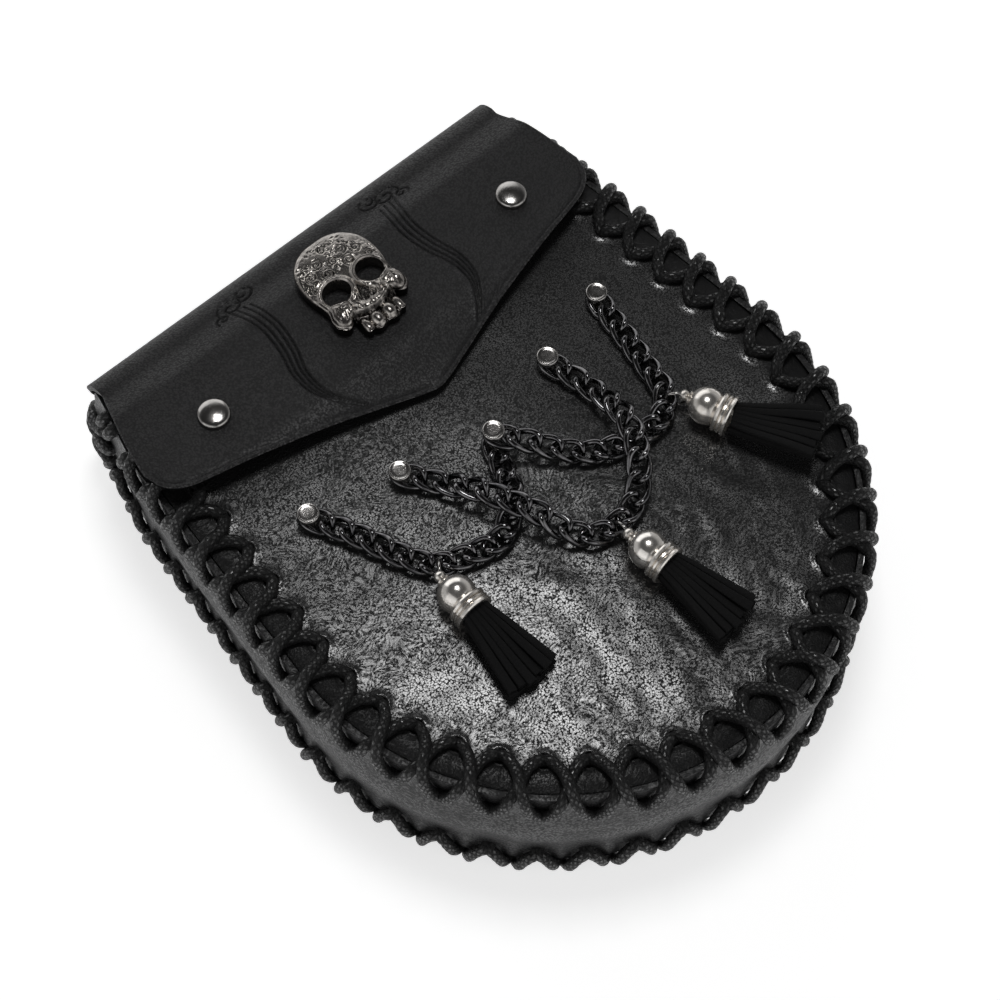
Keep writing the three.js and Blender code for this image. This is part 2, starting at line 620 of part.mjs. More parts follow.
// The ring stands across the side wire of the link nearest to the tassel, the tassel starts at its eye.
function tasselFrames(frames, { x, y, turn }) {
  const angle = -Math.PI / 2 + turn * Math.PI / 180;
  const along = vec(Math.cos(angle), Math.sin(angle), 0);
  const wanted = vec(x, tipY + y, 0).addScaledVector(along, -tassel.ballX);
  const choices = frames.map((frame) => {
    const out = vec().setFromMatrixColumn(frame, 1).setZ(0).normalize();
    const way = vec().setFromMatrixColumn(frame, 0).setZ(0).normalize();
    if (out.dot(along) < 0) out.negate();
    const side = vec().setFromMatrixPosition(frame).setZ(0).addScaledVector(out, link.halfWidth);
    const slide = clamp(wanted.clone().sub(side).dot(way), -0.4, 0.4);
    side.addScaledVector(way, slide);
    return { side, out, eye: side.clone().addScaledVector(out, tassel.eye.reach) };
  });
  const best = choices.reduce((a, b) => (b.eye.distanceTo(wanted) < a.eye.distanceTo(wanted) ? b : a));
  return { ring: uprightFrame(best.side, best.out), body: uprightFrame(best.eye, along) };
}

function ringAt(radius, wire, sides, normal, centre) {
  const turn = new THREE.Quaternion().setFromUnitVectors(vec(0, 0, 1), normal);
  const path = Array.from({ length: sides }, (_, i) => {
    const angle = (i + 0.5) * 2 * Math.PI / sides;
    const point = vec(radius * Math.cos(angle), radius * Math.sin(angle), 0).applyQuaternion(turn).add(centre);
    return { point, up: normal };
  });
  return bandAlong(path, wire, wire, true);
}

const jumpRing = () => ringAt(tassel.ring.radius, tassel.ring.wire, tassel.sides, vec(0, 1, 0),
  vec(tassel.ring.reach, 0, tassel.ring.height));

function tasselCap() {
  const { eye, ballRadius: r, ballX } = tassel;
  const loop = ringAt(eye.radius, eye.wire, tassel.sides, vec(0, 0, 1), vec(0, 0, eye.height));
  const body = latheOf([
    [0, -r + 0.2], [r * 0.55, -r * 0.84], [r * 0.9, -r * 0.45], [r, 0],
    [r * 0.92, r * 0.42], [r * 0.78, r * 0.7], [r, r * 0.8], [r, r * 1.24], [0, r * 1.24],
  ], tassel.sides).rotateY(Math.PI / 2).translate(ballX, 0, tassel.axisHeight);
  return fused([body, loop]);
}

function tasselSkirt({ skirtTurn, tipRise }) {
  const turn = skirtTurn * Math.PI / 180;
  const clear = 0.5 + 5.2 * Math.sin(turn);
  const head = new THREE.CylinderGeometry(4.8, 5.2, 2.5, tassel.sides).rotateZ(Math.PI / 2);
  const parts = [head.translate(1.25, 0, tassel.axisHeight)];
  for (let i = 0; i < tassel.strips; i++) {
    const share = i / (tassel.strips - 1) * 2 - 1;
    const upper = i % 2;
    const root = tassel.axisHeight + (upper ? 2.2 : -2.2);
    const tip = tipRise + (upper ? 5.2 : 2.2);
    const rows = [[0, 3.0, root], [0.45, 5.2, lerp(root, tip, 0.6)], [1, 7.6, tip]];
    const path = rows.map(([along, spread, z]) => ({
      point: vec(0.7 + along * tassel.skirt, share * spread, z),
      up: vec(0, 0, 1),
    }));
    parts.push(bandAlong(path, 2.0, 1.3, false));
  }
  return fused(parts).rotateZ(turn).translate(tassel.collarX + clear, 0, 0);
}

// Assembly.
addPiece('back_and_flap', backAndFlap(), 'flapLeather');
addPiece('front_panel', frontPanel(), 'frontLeather');
addPiece('gusset', gussetWall(), 'frontLeather');
addPiece('front_lacing', lacing(frontCorner, front.lastHole, 2), 'cord');
addPiece('back_lacing', lacing(backCorner, backLastHole, 0), 'cord');
addPiece('belt_loop', beltLoop(), 'frontLeather');

for (const [name, side] of [['left', -1], ['right', 1]]) {
  const cap = addPiece(`snap_cap_${name}`, snapCap(), 'nickel');
  cap.position.set(side * snap.x, tipY + snap.y, flapTop(snap.x, snap.y) + seatGap);
}

const skull = addPiece('skull_badge', skullBadge(), 'pewter');
skull.position.set(badge.x, tipY + badge.y, flapTop(badge.x, badge.y) + seatGap);

rivets.forEach((spec, i) => {
  const piece = addPiece(`chain_rivet_${i + 1}`, chainRivet(spec), 'nickel');
  piece.position.set(spec.x, tipY + spec.y, frontSurface(spec.x, tipY + spec.y) + 1.5 * seatGap);
});

swags.forEach((swag, i) => {
  const spec = tassels[i];
  const { ring, body } = tasselFrames(addChain(swag), spec);
  addPiece(`jump_ring_${spec.name}`, closedGeometry(jumpRing().applyMatrix4(ring)), 'nickel');
  addPiece(`tassel_cap_${spec.name}`, closedGeometry(tasselCap().applyMatrix4(body)), 'nickel');
  addPiece(`tassel_skirt_${spec.name}`, closedGeometry(tasselSkirt(spec).applyMatrix4(body)), 'suede');
});

export default group;
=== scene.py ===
# Leather belt pouch on its back: laced edges, tooled flap with a cast skull, three chain swags with tassels.
# Shapes are worked out in millimetres, as the pattern was, and brought to metres as each piece is finished.
import math
import bpy
import numpy as np
from mathutils import Matrix, Vector, noise


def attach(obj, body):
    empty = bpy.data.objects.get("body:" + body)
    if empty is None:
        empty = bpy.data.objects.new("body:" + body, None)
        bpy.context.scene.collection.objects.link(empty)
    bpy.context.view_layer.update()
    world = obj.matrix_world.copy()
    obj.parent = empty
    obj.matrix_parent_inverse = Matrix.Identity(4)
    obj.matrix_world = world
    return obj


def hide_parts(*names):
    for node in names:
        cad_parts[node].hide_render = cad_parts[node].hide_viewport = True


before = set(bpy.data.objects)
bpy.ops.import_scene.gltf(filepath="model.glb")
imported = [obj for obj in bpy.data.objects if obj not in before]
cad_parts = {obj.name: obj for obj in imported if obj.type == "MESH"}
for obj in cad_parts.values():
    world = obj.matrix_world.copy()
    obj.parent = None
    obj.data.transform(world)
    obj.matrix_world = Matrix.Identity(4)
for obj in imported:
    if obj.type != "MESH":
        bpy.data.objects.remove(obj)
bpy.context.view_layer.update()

mm = 0.001
materials = {}


# Working tools.
def deselectAll():
    if bpy.context.object and bpy.context.object.mode != "OBJECT":
        bpy.ops.object.mode_set(mode="OBJECT")
    bpy.ops.object.select_all(action="DESELECT")


def makeActive(piece, *others):
    deselectAll()
    for one in (piece, *others):
        one.select_set(True)
    bpy.context.view_layer.objects.active = piece


def readPoints(piece):
    spots = np.empty(len(piece.data.vertices) * 3)
    piece.data.vertices.foreach_get("co", spots)
    return spots.reshape(-1, 3)


def writePoints(piece, spots):
    piece.data.vertices.foreach_set("co", np.ascontiguousarray(spots, dtype=float).ravel())
    piece.data.update()


def addGrid(name, columns, rows, rule):
    deselectAll()
    bpy.ops.mesh.primitive_grid_add(x_subdivisions=columns, y_subdivisions=rows, size=2)
    piece = bpy.context.object
    piece.name = name
    spots = readPoints(piece)
    writePoints(piece, np.stack(np.broadcast_arrays(*rule(spots[:, 0], spots[:, 1])), axis=1))
    return piece


def editAll(piece, operator, **settings):
    makeActive(piece)
    bpy.ops.object.mode_set(mode="EDIT")
    bpy.ops.mesh.select_all(action="SELECT")
    operator(**settings)
    bpy.ops.object.mode_set(mode="OBJECT")


def mergeDoubles(piece, distance=0.002):
    editAll(piece, bpy.ops.mesh.remove_doubles, threshold=distance)


def faceOutward(piece):
    editAll(piece, bpy.ops.mesh.normals_make_consistent, inside=False)


def applyModifier(piece, kind, **settings):
    makeActive(piece)
    modifier = piece.modifiers.new(kind.title(), kind)
    for name, value in settings.items():
        setattr(modifier, name, value)
    bpy.ops.object.modifier_apply(modifier=modifier.name)


# A flat leather gets its thickness inwards and a rounded rim.
def giveWall(piece, thickness, rounding, segments=2, lining=0, **settings):
    applyModifier(piece, "SOLIDIFY", thickness=thickness, offset=-1, material_offset=lining,
                  material_offset_rim=lining + 1)
    applyModifier(piece, "BEVEL", width=rounding, segments=segments, limit_method="ANGLE",
                  angle_limit=math.radians(60), **settings)


def joinAll(name, pieces):
    makeActive(*pieces)
    if len(pieces) > 1:
        bpy.ops.object.join()
    pieces[0].name = name
    return pieces[0]


def cutAway(piece, cutter):
    applyModifier(piece, "BOOLEAN", operation="DIFFERENCE", solver="EXACT", object=cutter)
    bpy.data.objects.remove(cutter)


def meshPiece(name, spots, faces, edges=()):
    mesh = bpy.data.meshes.new(name)
    mesh.from_pydata([tuple(map(float, p)) for p in spots], edges, [tuple(int(i) for i in f) for f in faces])
    mesh.update()
    piece = bpy.data.objects.new(name, mesh)
    bpy.context.scene.collection.objects.link(piece)
    return piece


def spinProfile(name, rows, steps=48):
    piece = meshPiece(name, [(r, 0, z) for r, z in rows], [], [(i, i + 1) for i in range(len(rows) - 1)])
    editAll(piece, bpy.ops.mesh.spin, steps=steps, angle=2 * math.pi, center=(0, 0, 0), axis=(0, 0, 1))
    mergeDoubles(piece)
    faceOutward(piece)
    return piece


def storeValue(piece, name, values):
    layer = piece.data.attributes.new(name, "FLOAT", "POINT")
    layer.data.foreach_set("value", np.ascontiguousarray(values, dtype=float))


def subdivideWhere(piece, chosen):
    makeActive(piece)
    bpy.ops.object.mode_set(mode="EDIT")
    bpy.ops.mesh.select_mode(type="VERT")
    bpy.ops.mesh.select_all(action="DESELECT")
    bpy.ops.object.mode_set(mode="OBJECT")
    piece.data.vertices.foreach_set("select", np.ascontiguousarray(chosen, dtype=bool))
    bpy.ops.object.mode_set(mode="EDIT")
    bpy.ops.mesh.subdivide(number_cuts=1)
    bpy.ops.object.mode_set(mode="OBJECT")


def finishPiece(piece, slotName, *nodes, surface=None, angle=40):
    writePoints(piece, readPoints(piece) * mm)
    if surface:
        piece.data.materials.clear()
        for one in surface:
            piece.data.materials.append(materials[one])
    makeActive(piece)
    bpy.ops.object.shade_smooth_by_angle(angle=math.radians(angle))
    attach(piece, "root")
    if nodes:
        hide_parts(*nodes)
    return piece


def smooth(value, low, high):
    share = np.clip((np.asarray(value, dtype=float) - low) / (high - low), 0, 1)
    return share * share * (3 - 2 * share)


def lerp(start, end, share):
    return start + (end - start) * share


def unit(vectors):
    return vectors / np.linalg.norm(vectors, axis=-1, keepdims=True)


def travelAlong(line):
    return np.concatenate([[0], np.cumsum(np.linalg.norm(np.diff(line, axis=0), axis=1))])


def softNoise(x, y, size, seed, octaves=1):
    total, weight = np.zeros(len(x)), 0
    for octave in range(octaves):
        gain = 0.5 ** octave
        step = 2 ** octave / size
        total += gain * np.array([noise.noise((a * step, b * step, seed + 7.3 * octave)) for a, b in zip(x, y)])
        weight += gain
    return total / weight


def splineThrough(points, samples, closed=False):
    p = np.array(points, dtype=float)
    if closed:
        p = np.vstack([p[-1], p, p[0], p[1]])
    else:
        p = np.vstack([2 * p[0] - p[1], p, 2 * p[-1] - p[-2]])
    line = []
    for k in range(1, len(p) - 2):
        a, b, c, d = p[k - 1:k + 3]
        s0, s1, s2 = [max(np.linalg.norm(e), 1e-6) ** 0.5 for e in (b - a, c - b, d - c)]
        m1 = ((b - a) / s0 - (c - a) / (s0 + s1) + (c - b) / s1) * s1
        m2 = ((c - b) / s1 - (d - b) / (s1 + s2) + (d - c) / s2) * s1
        t = np.linspace(0, 1, samples, endpoint=False)[:, None]
        line.append(b + m1 * t + (-3 * b + 3 * c - 2 * m1 - m2) * t ** 2 + (2 * b - 2 * c + m1 + m2) * t ** 3)
    if not closed:
        line.append(p[-2][None])
    return np.vstack(line)


def evenSteps(line, step, closed=False):
    if closed:
        line = np.vstack([line, line[:1]])
    travel = travelAlong(line)
    count = max(2, round(travel[-1] / step))
    wanted = np.linspace(0, travel[-1], count + 1)
    if closed:
        wanted = wanted[:-1]
    return np.stack([np.interp(wanted, travel, line[:, k]) for k in range(3)], axis=1)


# Up and side directions carried along an open line without twisting.
def carriedFrames(line, firstUp):
    ahead = np.roll(line, -1, axis=0) - np.roll(line, 1, axis=0)
    ahead[0], ahead[-1] = line[1] - line[0], line[-1] - line[-2]
    along = unit(ahead)
    up = np.array(firstUp, dtype=float)
    ups = []
    for a in along:
        up = unit(up - a * up.dot(a))
        ups.append(up)
    ups = np.array(ups)
    return ups, np.cross(along, ups)


def tubeRings(line, ups, sides, radius, count, flatten=1.0):
    angle = np.arange(count) * 2 * math.pi / count
    radius = np.broadcast_to(np.asarray(radius, dtype=float), (len(line),))[:, None, None]
    ring = np.cos(angle)[None, :, None] * ups[:, None] * flatten + np.sin(angle)[None, :, None] * sides[:, None]
    return line[:, None] + radius * ring


def ringFaces(rings, count, closed, offset):
    faces = []
    for i in range(rings if closed else rings - 1):
        here, there = offset + i * count, offset + (i + 1) % rings * count
        for k in range(count):
            n = (k + 1) % count
            faces.append((here + k, here + n, there + n, there + k))
    if not closed:
        faces.append(tuple(offset + k for k in reversed(range(count))))
        faces.append(tuple(offset + (rings - 1) * count + k for k in range(count)))
    return faces


# The pouch's outline, as the pattern gives it.
pouch = {
    "length": 215.2, "shift": -0.2, "frontZ": 52.5, "backZ": 6.3, "leather": 1.8, "flapLeather": 2.0,
    "holeRow": 81.0, "sideLean": math.radians(4.8), "laceMargin": 11.6, "lacePitch": 12.5,
    "domeRise": 2.0, "domeRadius": 75.0, "bendRadius": 8.0, "rollRadius": 9.5, "gap": 0.3,
    "halfWidth": 79.0, "wallHalfWidth": 75.9, "wallTop": 43.0,
    "spread": 1.8, "spreadFrom": 90.0, "pinch": 4.5, "pinchFrom": 212.0, "pinchTo": 249.0,
}
wallRadius = pouch["holeRow"] + pouch["laceMargin"]
foldY = pouch["length"] / 2 + pouch["shift"]
roundY = foldY - pouch["length"] + wallRadius
tipY = roundY - pouch["holeRow"]
roundTravel = pouch["holeRow"] * (math.pi / 2 + pouch["sideLean"])
rollStartZ = pouch["frontZ"] - 4


def outlineAt(travel, radius):
    onRound = np.clip(travel, -roundTravel, roundTravel)
    turn = onRound / pouch["holeRow"]
    past = travel - onRound
    return past * np.cos(turn) + radius * np.sin(turn), roundY + past * np.sin(turn) - radius * np.cos(turn)


def travelAt(y, radius):
    turn = roundTravel / pouch["holeRow"]
    return roundTravel + (y - roundY + math.cos(turn) * radius) / math.sin(turn)


# Outer face of the wall: its back edge spreads round the bottom, both edges draw in towards the fold.
def wallFace(travel, z):
    reach = np.abs(travel)
    fade = np.clip((reach - pouch["spreadFrom"]) / (pouch["pinchFrom"] - pouch["spreadFrom"]), 0, 1)
    toBack = np.clip((pouch["frontZ"] - z) / (pouch["frontZ"] - pouch["backZ"]), 0, 1)
    drawn = pouch["pinch"] * smooth(reach, pouch["pinchFrom"], pouch["pinchTo"])
    return wallRadius + pouch["spread"] * (1 - fade) * toBack - drawn


def panelEdge(travel, z):
    return wallFace(travel, z) - pouch["leather"] - pouch["gap"]


bendTravel = travelAt(foldY - pouch["bendRadius"], wallRadius - pouch["pinch"])


def frontSurface(x, y):
    reach = np.where(y < roundY, np.hypot(x, y - roundY), np.abs(x))
    return pouch["frontZ"] + pouch["domeRise"] * np.maximum(0, 1 - (reach / pouch["domeRadius"]) ** 2) ** 2


def frontHeight(x, y):
    return float(frontSurface(np.array(x), np.array(y)))


# How far a spot is from the middle of the round bottom, or from the middle line above it.
def fromMiddle(x, y):
    return np.hypot(x, np.minimum(y - roundY, 0))


# Shader groups.
def newGroup(name, inputs, outputs):
    group = bpy.data.node_groups.new(name, "ShaderNodeTree")
    for label, kind, value in inputs:
        socket = group.interface.new_socket(name=label, in_out="INPUT", socket_type=kind)
        if value is not None:
            socket.default_value = value
    for label, kind in outputs:
        group.interface.new_socket(name=label, in_out="OUTPUT", socket_type=kind)
    return group, group.nodes.new("NodeGroupInput"), group.nodes.new("NodeGroupOutput")


def addNode(tree, kind, **settings):
    node = tree.nodes.new(kind)
    for name, value in settings.items():
        if name in node.inputs:
            node.inputs[name].default_value = value
        else:
            setattr(node, name, value)
    return node


def mathNode(tree, operation, first, second=None, third=None, clamp=False):
    node = tree.nodes.new("ShaderNodeMath")
    node.operation = operation
    node.use_clamp = clamp
    for i, value in enumerate((first, second, third)):
        if value is None:
            continue
        if isinstance(value, (int, float)):
            node.inputs[i].default_value = value
        else:
            tree.links.new(value, node.inputs[i])
    return node.outputs[0]


def times(tree, first, second):
    return mathNode(tree, "MULTIPLY", first, second)


def timesPlus(tree, first, second, third):
    return mathNode(tree, "MULTIPLY_ADD", first, second, third)


# Distance of a field from its middle value.
def fromHalf(tree, value):
    return mathNode(tree, "ABSOLUTE", mathNode(tree, "SUBTRACT", value, 0.5))


def spread(tree, value, low, high, newLow=0.0, newHigh=1.0):
    node = tree.nodes.new("ShaderNodeMapRange")
    node.interpolation_type = "SMOOTHSTEP"
    tree.links.new(value, node.inputs["Value"])
    for label, number in (("From Min", low), ("From Max", high), ("To Min", newLow), ("To Max", newHigh)):
        node.inputs[label].default_value = number
    return node.outputs["Result"]


def noiseAt(tree, place, scale, detail=3.0, roughness=0.55, distortion=0.0):
    node = addNode(tree, "ShaderNodeTexNoise", Detail=detail, Roughness=roughness, Distortion=distortion)
    tree.links.new(place, node.inputs["Vector"])
    if isinstance(scale, (int, float)):
        node.inputs["Scale"].default_value = scale
    else:
        tree.links.new(scale, node.inputs["Scale"])
    return node


# Narrow valleys where a slow field crosses its middle value.
def valleysAt(tree, place, scale, width, detail, distortion):
    field = noiseAt(tree, place, scale, detail, 0.6, distortion)
    return spread(tree, fromHalf(tree, field.outputs[0]), 0.0, width)


def buildLeatherGrain():
    group, entry, result = newGroup("leatherGrain", [
        ("Place", "NodeSocketVector", None), ("Pebble Size", "NodeSocketFloat", 0.8),
        ("Pebble Depth", "NodeSocketFloat", 1.0), ("Wrinkle Size", "NodeSocketFloat", 1.2),
        ("Wrinkle Depth", "NodeSocketFloat", 1.0), ("Crease Size", "NodeSocketFloat", 24.0),
        ("Crease Depth", "NodeSocketFloat", 1.0),
    ], [("Height", "NodeSocketFloat"), ("Tone", "NodeSocketFloat"), ("Crests", "NodeSocketFloat")])
    place = entry.outputs["Place"]

    def moved(scale, reach):
        shift = group.nodes.new("ShaderNodeVectorMath")
        shift.operation = "MULTIPLY_ADD"
        group.links.new(noiseAt(group, place, scale, 2.0).outputs["Color"], shift.inputs[0])
        shift.inputs[1].default_value = (reach, reach, reach)
        group.links.new(place, shift.inputs[2])
        return shift.outputs[0]

    def drawnOut(source, stretch, turn):
        long = addNode(group, "ShaderNodeMapping", vector_type="TEXTURE", Scale=(stretch, 1.0, 1.0),
                       Rotation=(0, 0, turn))
        group.links.new(source, long.inputs["Vector"])
        return long.outputs[0]

    cells = addNode(group, "ShaderNodeTexVoronoi", feature="F1", Randomness=1.0)
    group.links.new(place, cells.inputs["Vector"])
    group.links.new(mathNode(group, "DIVIDE", 1.0, entry.outputs["Pebble Size"]), cells.inputs["Scale"])
    pebbles = spread(group, cells.outputs["Distance"], 0.28, 0.82, 1.0, 0.0)
    wrinkleScale = mathNode(group, "DIVIDE", 1.0, entry.outputs["Wrinkle Size"])
    curved = moved(0.06, 16.0)
    wrinkles, banding = None, None
    for turn, scale in ((0.34, 0.034), (-0.75, 0.026)):
        ridges = valleysAt(group, drawnOut(curved, 2.8, turn), wrinkleScale, 0.15, 2.0, 0.3)
        field = noiseAt(group, drawnOut(place, 2.0, turn), scale, 2.0, 0.5, 0.5)
        band = spread(group, fromHalf(group, field.outputs[0]), 0.015, 0.085, 1.0, 0.0)
        band = times(group, band, entry.outputs["Wrinkle Depth"])
        ridges = times(group, timesPlus(group, ridges, 1.15, -0.25), band)
        wrinkles = ridges if wrinkles is None else mathNode(group, "ADD", wrinkles, ridges)
        banding = band if banding is None else mathNode(group, "ADD", banding, band, clamp=True)
    crease = valleysAt(group, place, mathNode(group, "DIVIDE", 1.0, entry.outputs["Crease Size"]), 0.03, 3.0, 1.1)
    fine = noiseAt(group, place, 2.2, 2.0, 0.6)
    calm = timesPlus(group, banding, -0.5, 1.0)
    rise = timesPlus(group, pebbles, calm, wrinkles)
    rise = timesPlus(group, fine.outputs[0], 0.7, rise)
    height = times(group, rise, entry.outputs["Pebble Depth"])
    height = timesPlus(group, banding, -1.8, height)
    height = timesPlus(group, crease, entry.outputs["Crease Depth"], height)
    group.links.new(height, result.inputs["Height"])
    crests = spread(group, rise, 0.35, 1.7)
    crests = times(group, crests, timesPlus(group, banding, -0.25, 1.0))
    group.links.new(crests, result.inputs["Crests"])
    wander = noiseAt(group, place, 0.05, 3.0)
    tone = timesPlus(group, wander.outputs[0], 0.6, times(group, rise, 0.2))
    group.links.new(tone, result.inputs["Tone"])
    return group


def buildMetalWear():
    group, entry, result = newGroup("metalWear", [
        ("Place", "NodeSocketVector", None), ("Cloud Size", "NodeSocketFloat", 4.0),
        ("Scratch Depth", "NodeSocketFloat", 1.0),
    ], [("Height", "NodeSocketFloat"), ("Cloud", "NodeSocketFloat")])
    place = entry.outputs["Place"]
    cloud = noiseAt(group, place, mathNode(group, "DIVIDE", 1.0, entry.outputs["Cloud Size"]), 4.0, 0.6)
    squeeze = addNode(group, "ShaderNodeMapping", Scale=(0.4, 6.0, 2.0), Rotation=(0, 0, 0.6))
    group.links.new(place, squeeze.inputs["Vector"])
    scratch = noiseAt(group, squeeze.outputs[0], 1.2, 2.0, 0.5)
    lines = spread(group, scratch.outputs[0], 0.55, 0.7)
    height = times(group, lines, entry.outputs["Scratch Depth"])
    group.links.new(height, result.inputs["Height"])
    group.links.new(cloud.outputs[0], result.inputs["Cloud"])
    return group


def buildYarn():
    group, entry, result = newGroup("yarn", [
        ("Place", "NodeSocketVector", None), ("Fibre Size", "NodeSocketFloat", 0.3),
    ], [("Height", "NodeSocketFloat"), ("Fluff", "NodeSocketFloat")])
    place = entry.outputs["Place"]
    scale = mathNode(group, "DIVIDE", 1.0, entry.outputs["Fibre Size"])
    fibre = noiseAt(group, place, scale, 3.0, 0.65, 0.8)
    clump = noiseAt(group, place, times(group, scale, 0.28), 2.0, 0.5, 0.4)
    height = timesPlus(group, clump.outputs[0], 1.2, fibre.outputs[0])
    group.links.new(height, result.inputs["Height"])
    group.links.new(spread(group, fibre.outputs[0], 0.56, 0.74), result.inputs["Fluff"])
    return group


# Two sets of ridges wound round a cord in opposite ways, from its surface map.
def buildPlait():
    group, entry, result = newGroup("plait", [
        ("Place", "NodeSocketVector", None), ("Strands", "NodeSocketFloat", 5.0), ("Pitch", "NodeSocketFloat", 3.2),
    ], [("Height", "NodeSocketFloat")])
    parts = group.nodes.new("ShaderNodeSeparateXYZ")
    group.links.new(entry.outputs["Place"], parts.inputs[0])
    around = times(group, parts.outputs[0], entry.outputs["Strands"])
    onward = mathNode(group, "DIVIDE", times(group, parts.outputs[1], 10.0), entry.outputs["Pitch"])
    waves = []
    for operation in ("ADD", "SUBTRACT"):
        turn = times(group, mathNode(group, operation, around, onward), 2 * math.pi)
        waves.append(mathNode(group, "ABSOLUTE", mathNode(group, "SINE", turn)))
    group.links.new(mathNode(group, "MINIMUM", *waves), result.inputs["Height"])
    return group


leatherGrain = buildLeatherGrain()
plait = buildPlait()
metalWear = buildMetalWear()
yarn = buildYarn()


def startMaterial(name):
    material = bpy.data.materials.new(name)
    material.use_nodes = True
    tree = material.node_tree
    shader = next(n for n in tree.nodes if n.type == "BSDF_PRINCIPLED")
    coordinates = tree.nodes.new("ShaderNodeTexCoord")
    scaled = addNode(tree, "ShaderNodeMapping", Scale=(1000, 1000, 1000))
    tree.links.new(coordinates.outputs["Object"], scaled.inputs["Vector"])
    materials[name] = material
    return tree, shader, scaled.outputs[0]


def useGroup(tree, group, place, **values):
    node = tree.nodes.new("ShaderNodeGroup")
    node.node_tree = group
    tree.links.new(place, node.inputs["Place"])
    for name, value in values.items():
        node.inputs[name].default_value = value
    return node


def bumpFrom(tree, shader, height, distance):
    bump = addNode(tree, "ShaderNodeBump", Strength=1.0, Distance=distance * mm)
    tree.links.new(height, bump.inputs["Height"])
    tree.links.new(bump.outputs[0], shader.inputs["Normal"])


def mixColours(tree, factor, first, second):
    mix = tree.nodes.new("ShaderNodeMix")
    mix.data_type = "RGBA"
    for socket, colour in (("A", first), ("B", second)):
        if isinstance(colour, tuple):
            mix.inputs[socket].default_value = (*colour, 1)
        else:
            tree.links.new(colour, mix.inputs[socket])
    tree.links.new(factor, mix.inputs["Factor"])
    return mix.outputs["Result"]


def setShader(shader, **values):
    for name, value in values.items():
        shader.inputs[name].default_value = value


def toneBetween(tree, shader, factor, dark, light, low=0.3, high=0.7):
    tree.links.new(mixColours(tree, spread(tree, factor, low, high), dark, light), shader.inputs["Base Color"])


def storedValue(tree, name):
    return addNode(tree, "ShaderNodeAttribute", attribute_name=name).outputs["Fac"]


leathers = {
    "frontLeather": {
        "dark": (0.003, 0.003, 0.0032), "light": (0.007, 0.0069, 0.0073), "rough": (0.35, 0.6), "specular": 0.3,
        "coat": 1.15, "sheen": 0.27, "pebble": 0.58, "pebbleDepth": 0.85, "wrinkle": 1.15, "wrinkleDepth": 0.72,
        "crease": 26.0, "creaseDepth": 0.4, "bump": 0.12, "rim": 0.5},
    # The wall leather's base colour is set lighter than the front leather's: painted light, standing in for the bright
    # floor that the side wall reflects.
    "wallLeather": {
        "dark": (0.006, 0.006, 0.0065), "light": (0.012, 0.0118, 0.0125), "rough": (0.36, 0.6), "specular": 0.42,
        "coat": 0.18, "sheen": 0.35, "pebble": 0.75, "pebbleDepth": 0.8, "wrinkle": 1.5, "wrinkleDepth": 0.7,
        "crease": 18.0, "creaseDepth": 1.0, "bump": 0.12},
    "flapLeather": {
        "dark": (0.0068, 0.0065, 0.007), "light": (0.0104, 0.01, 0.0107), "rough": (0.42, 0.6), "specular": 0.3,
        "coat": 0.08, "sheen": 0.35, "pebble": 0.7, "pebbleDepth": 0.8, "wrinkle": 1.5, "wrinkleDepth": 0.3,
        "crease": 30.0, "creaseDepth": 0.35, "bump": 0.1, "rim": 0.9, "tooling": 0.34},
    "liningLeather": {
        "dark": (0.01, 0.0095, 0.0095), "light": (0.02, 0.0185, 0.0185), "rough": (0.75, 0.85), "specular": 0.3,
        "coat": 0.0, "sheen": 0.4, "pebble": 0.5, "pebbleDepth": 0.5, "wrinkle": 1.5, "wrinkleDepth": 0.2,
        "crease": 30.0, "creaseDepth": 0.2, "bump": 0.09},
    "cutEdge": {
        "dark": (0.005, 0.005, 0.0055), "light": (0.016, 0.016, 0.017), "rough": (0.24, 0.32), "specular": 0.5,
        "coat": 3.0, "sheen": 0.2, "pebble": 0.6, "pebbleDepth": 0.15, "wrinkle": 2.0, "wrinkleDepth": 0.1,
        "crease": 8.0, "creaseDepth": 0.1, "bump": 0.02},
}


# More wrinkles towards the round bottom and the left, where the pouch is handled most.
def wornShare(tree, place, depth):
    parts = tree.nodes.new("ShaderNodeSeparateXYZ")
    tree.links.new(place, parts.inputs[0])
    lean = timesPlus(tree, parts.outputs[1], 0.7, parts.outputs[0])
    lean = timesPlus(tree, noiseAt(tree, place, 0.03, 2.0).outputs[0], 60.0, lean)
    return spread(tree, lean, 0.0, 95.0, depth, 0.25 * depth)


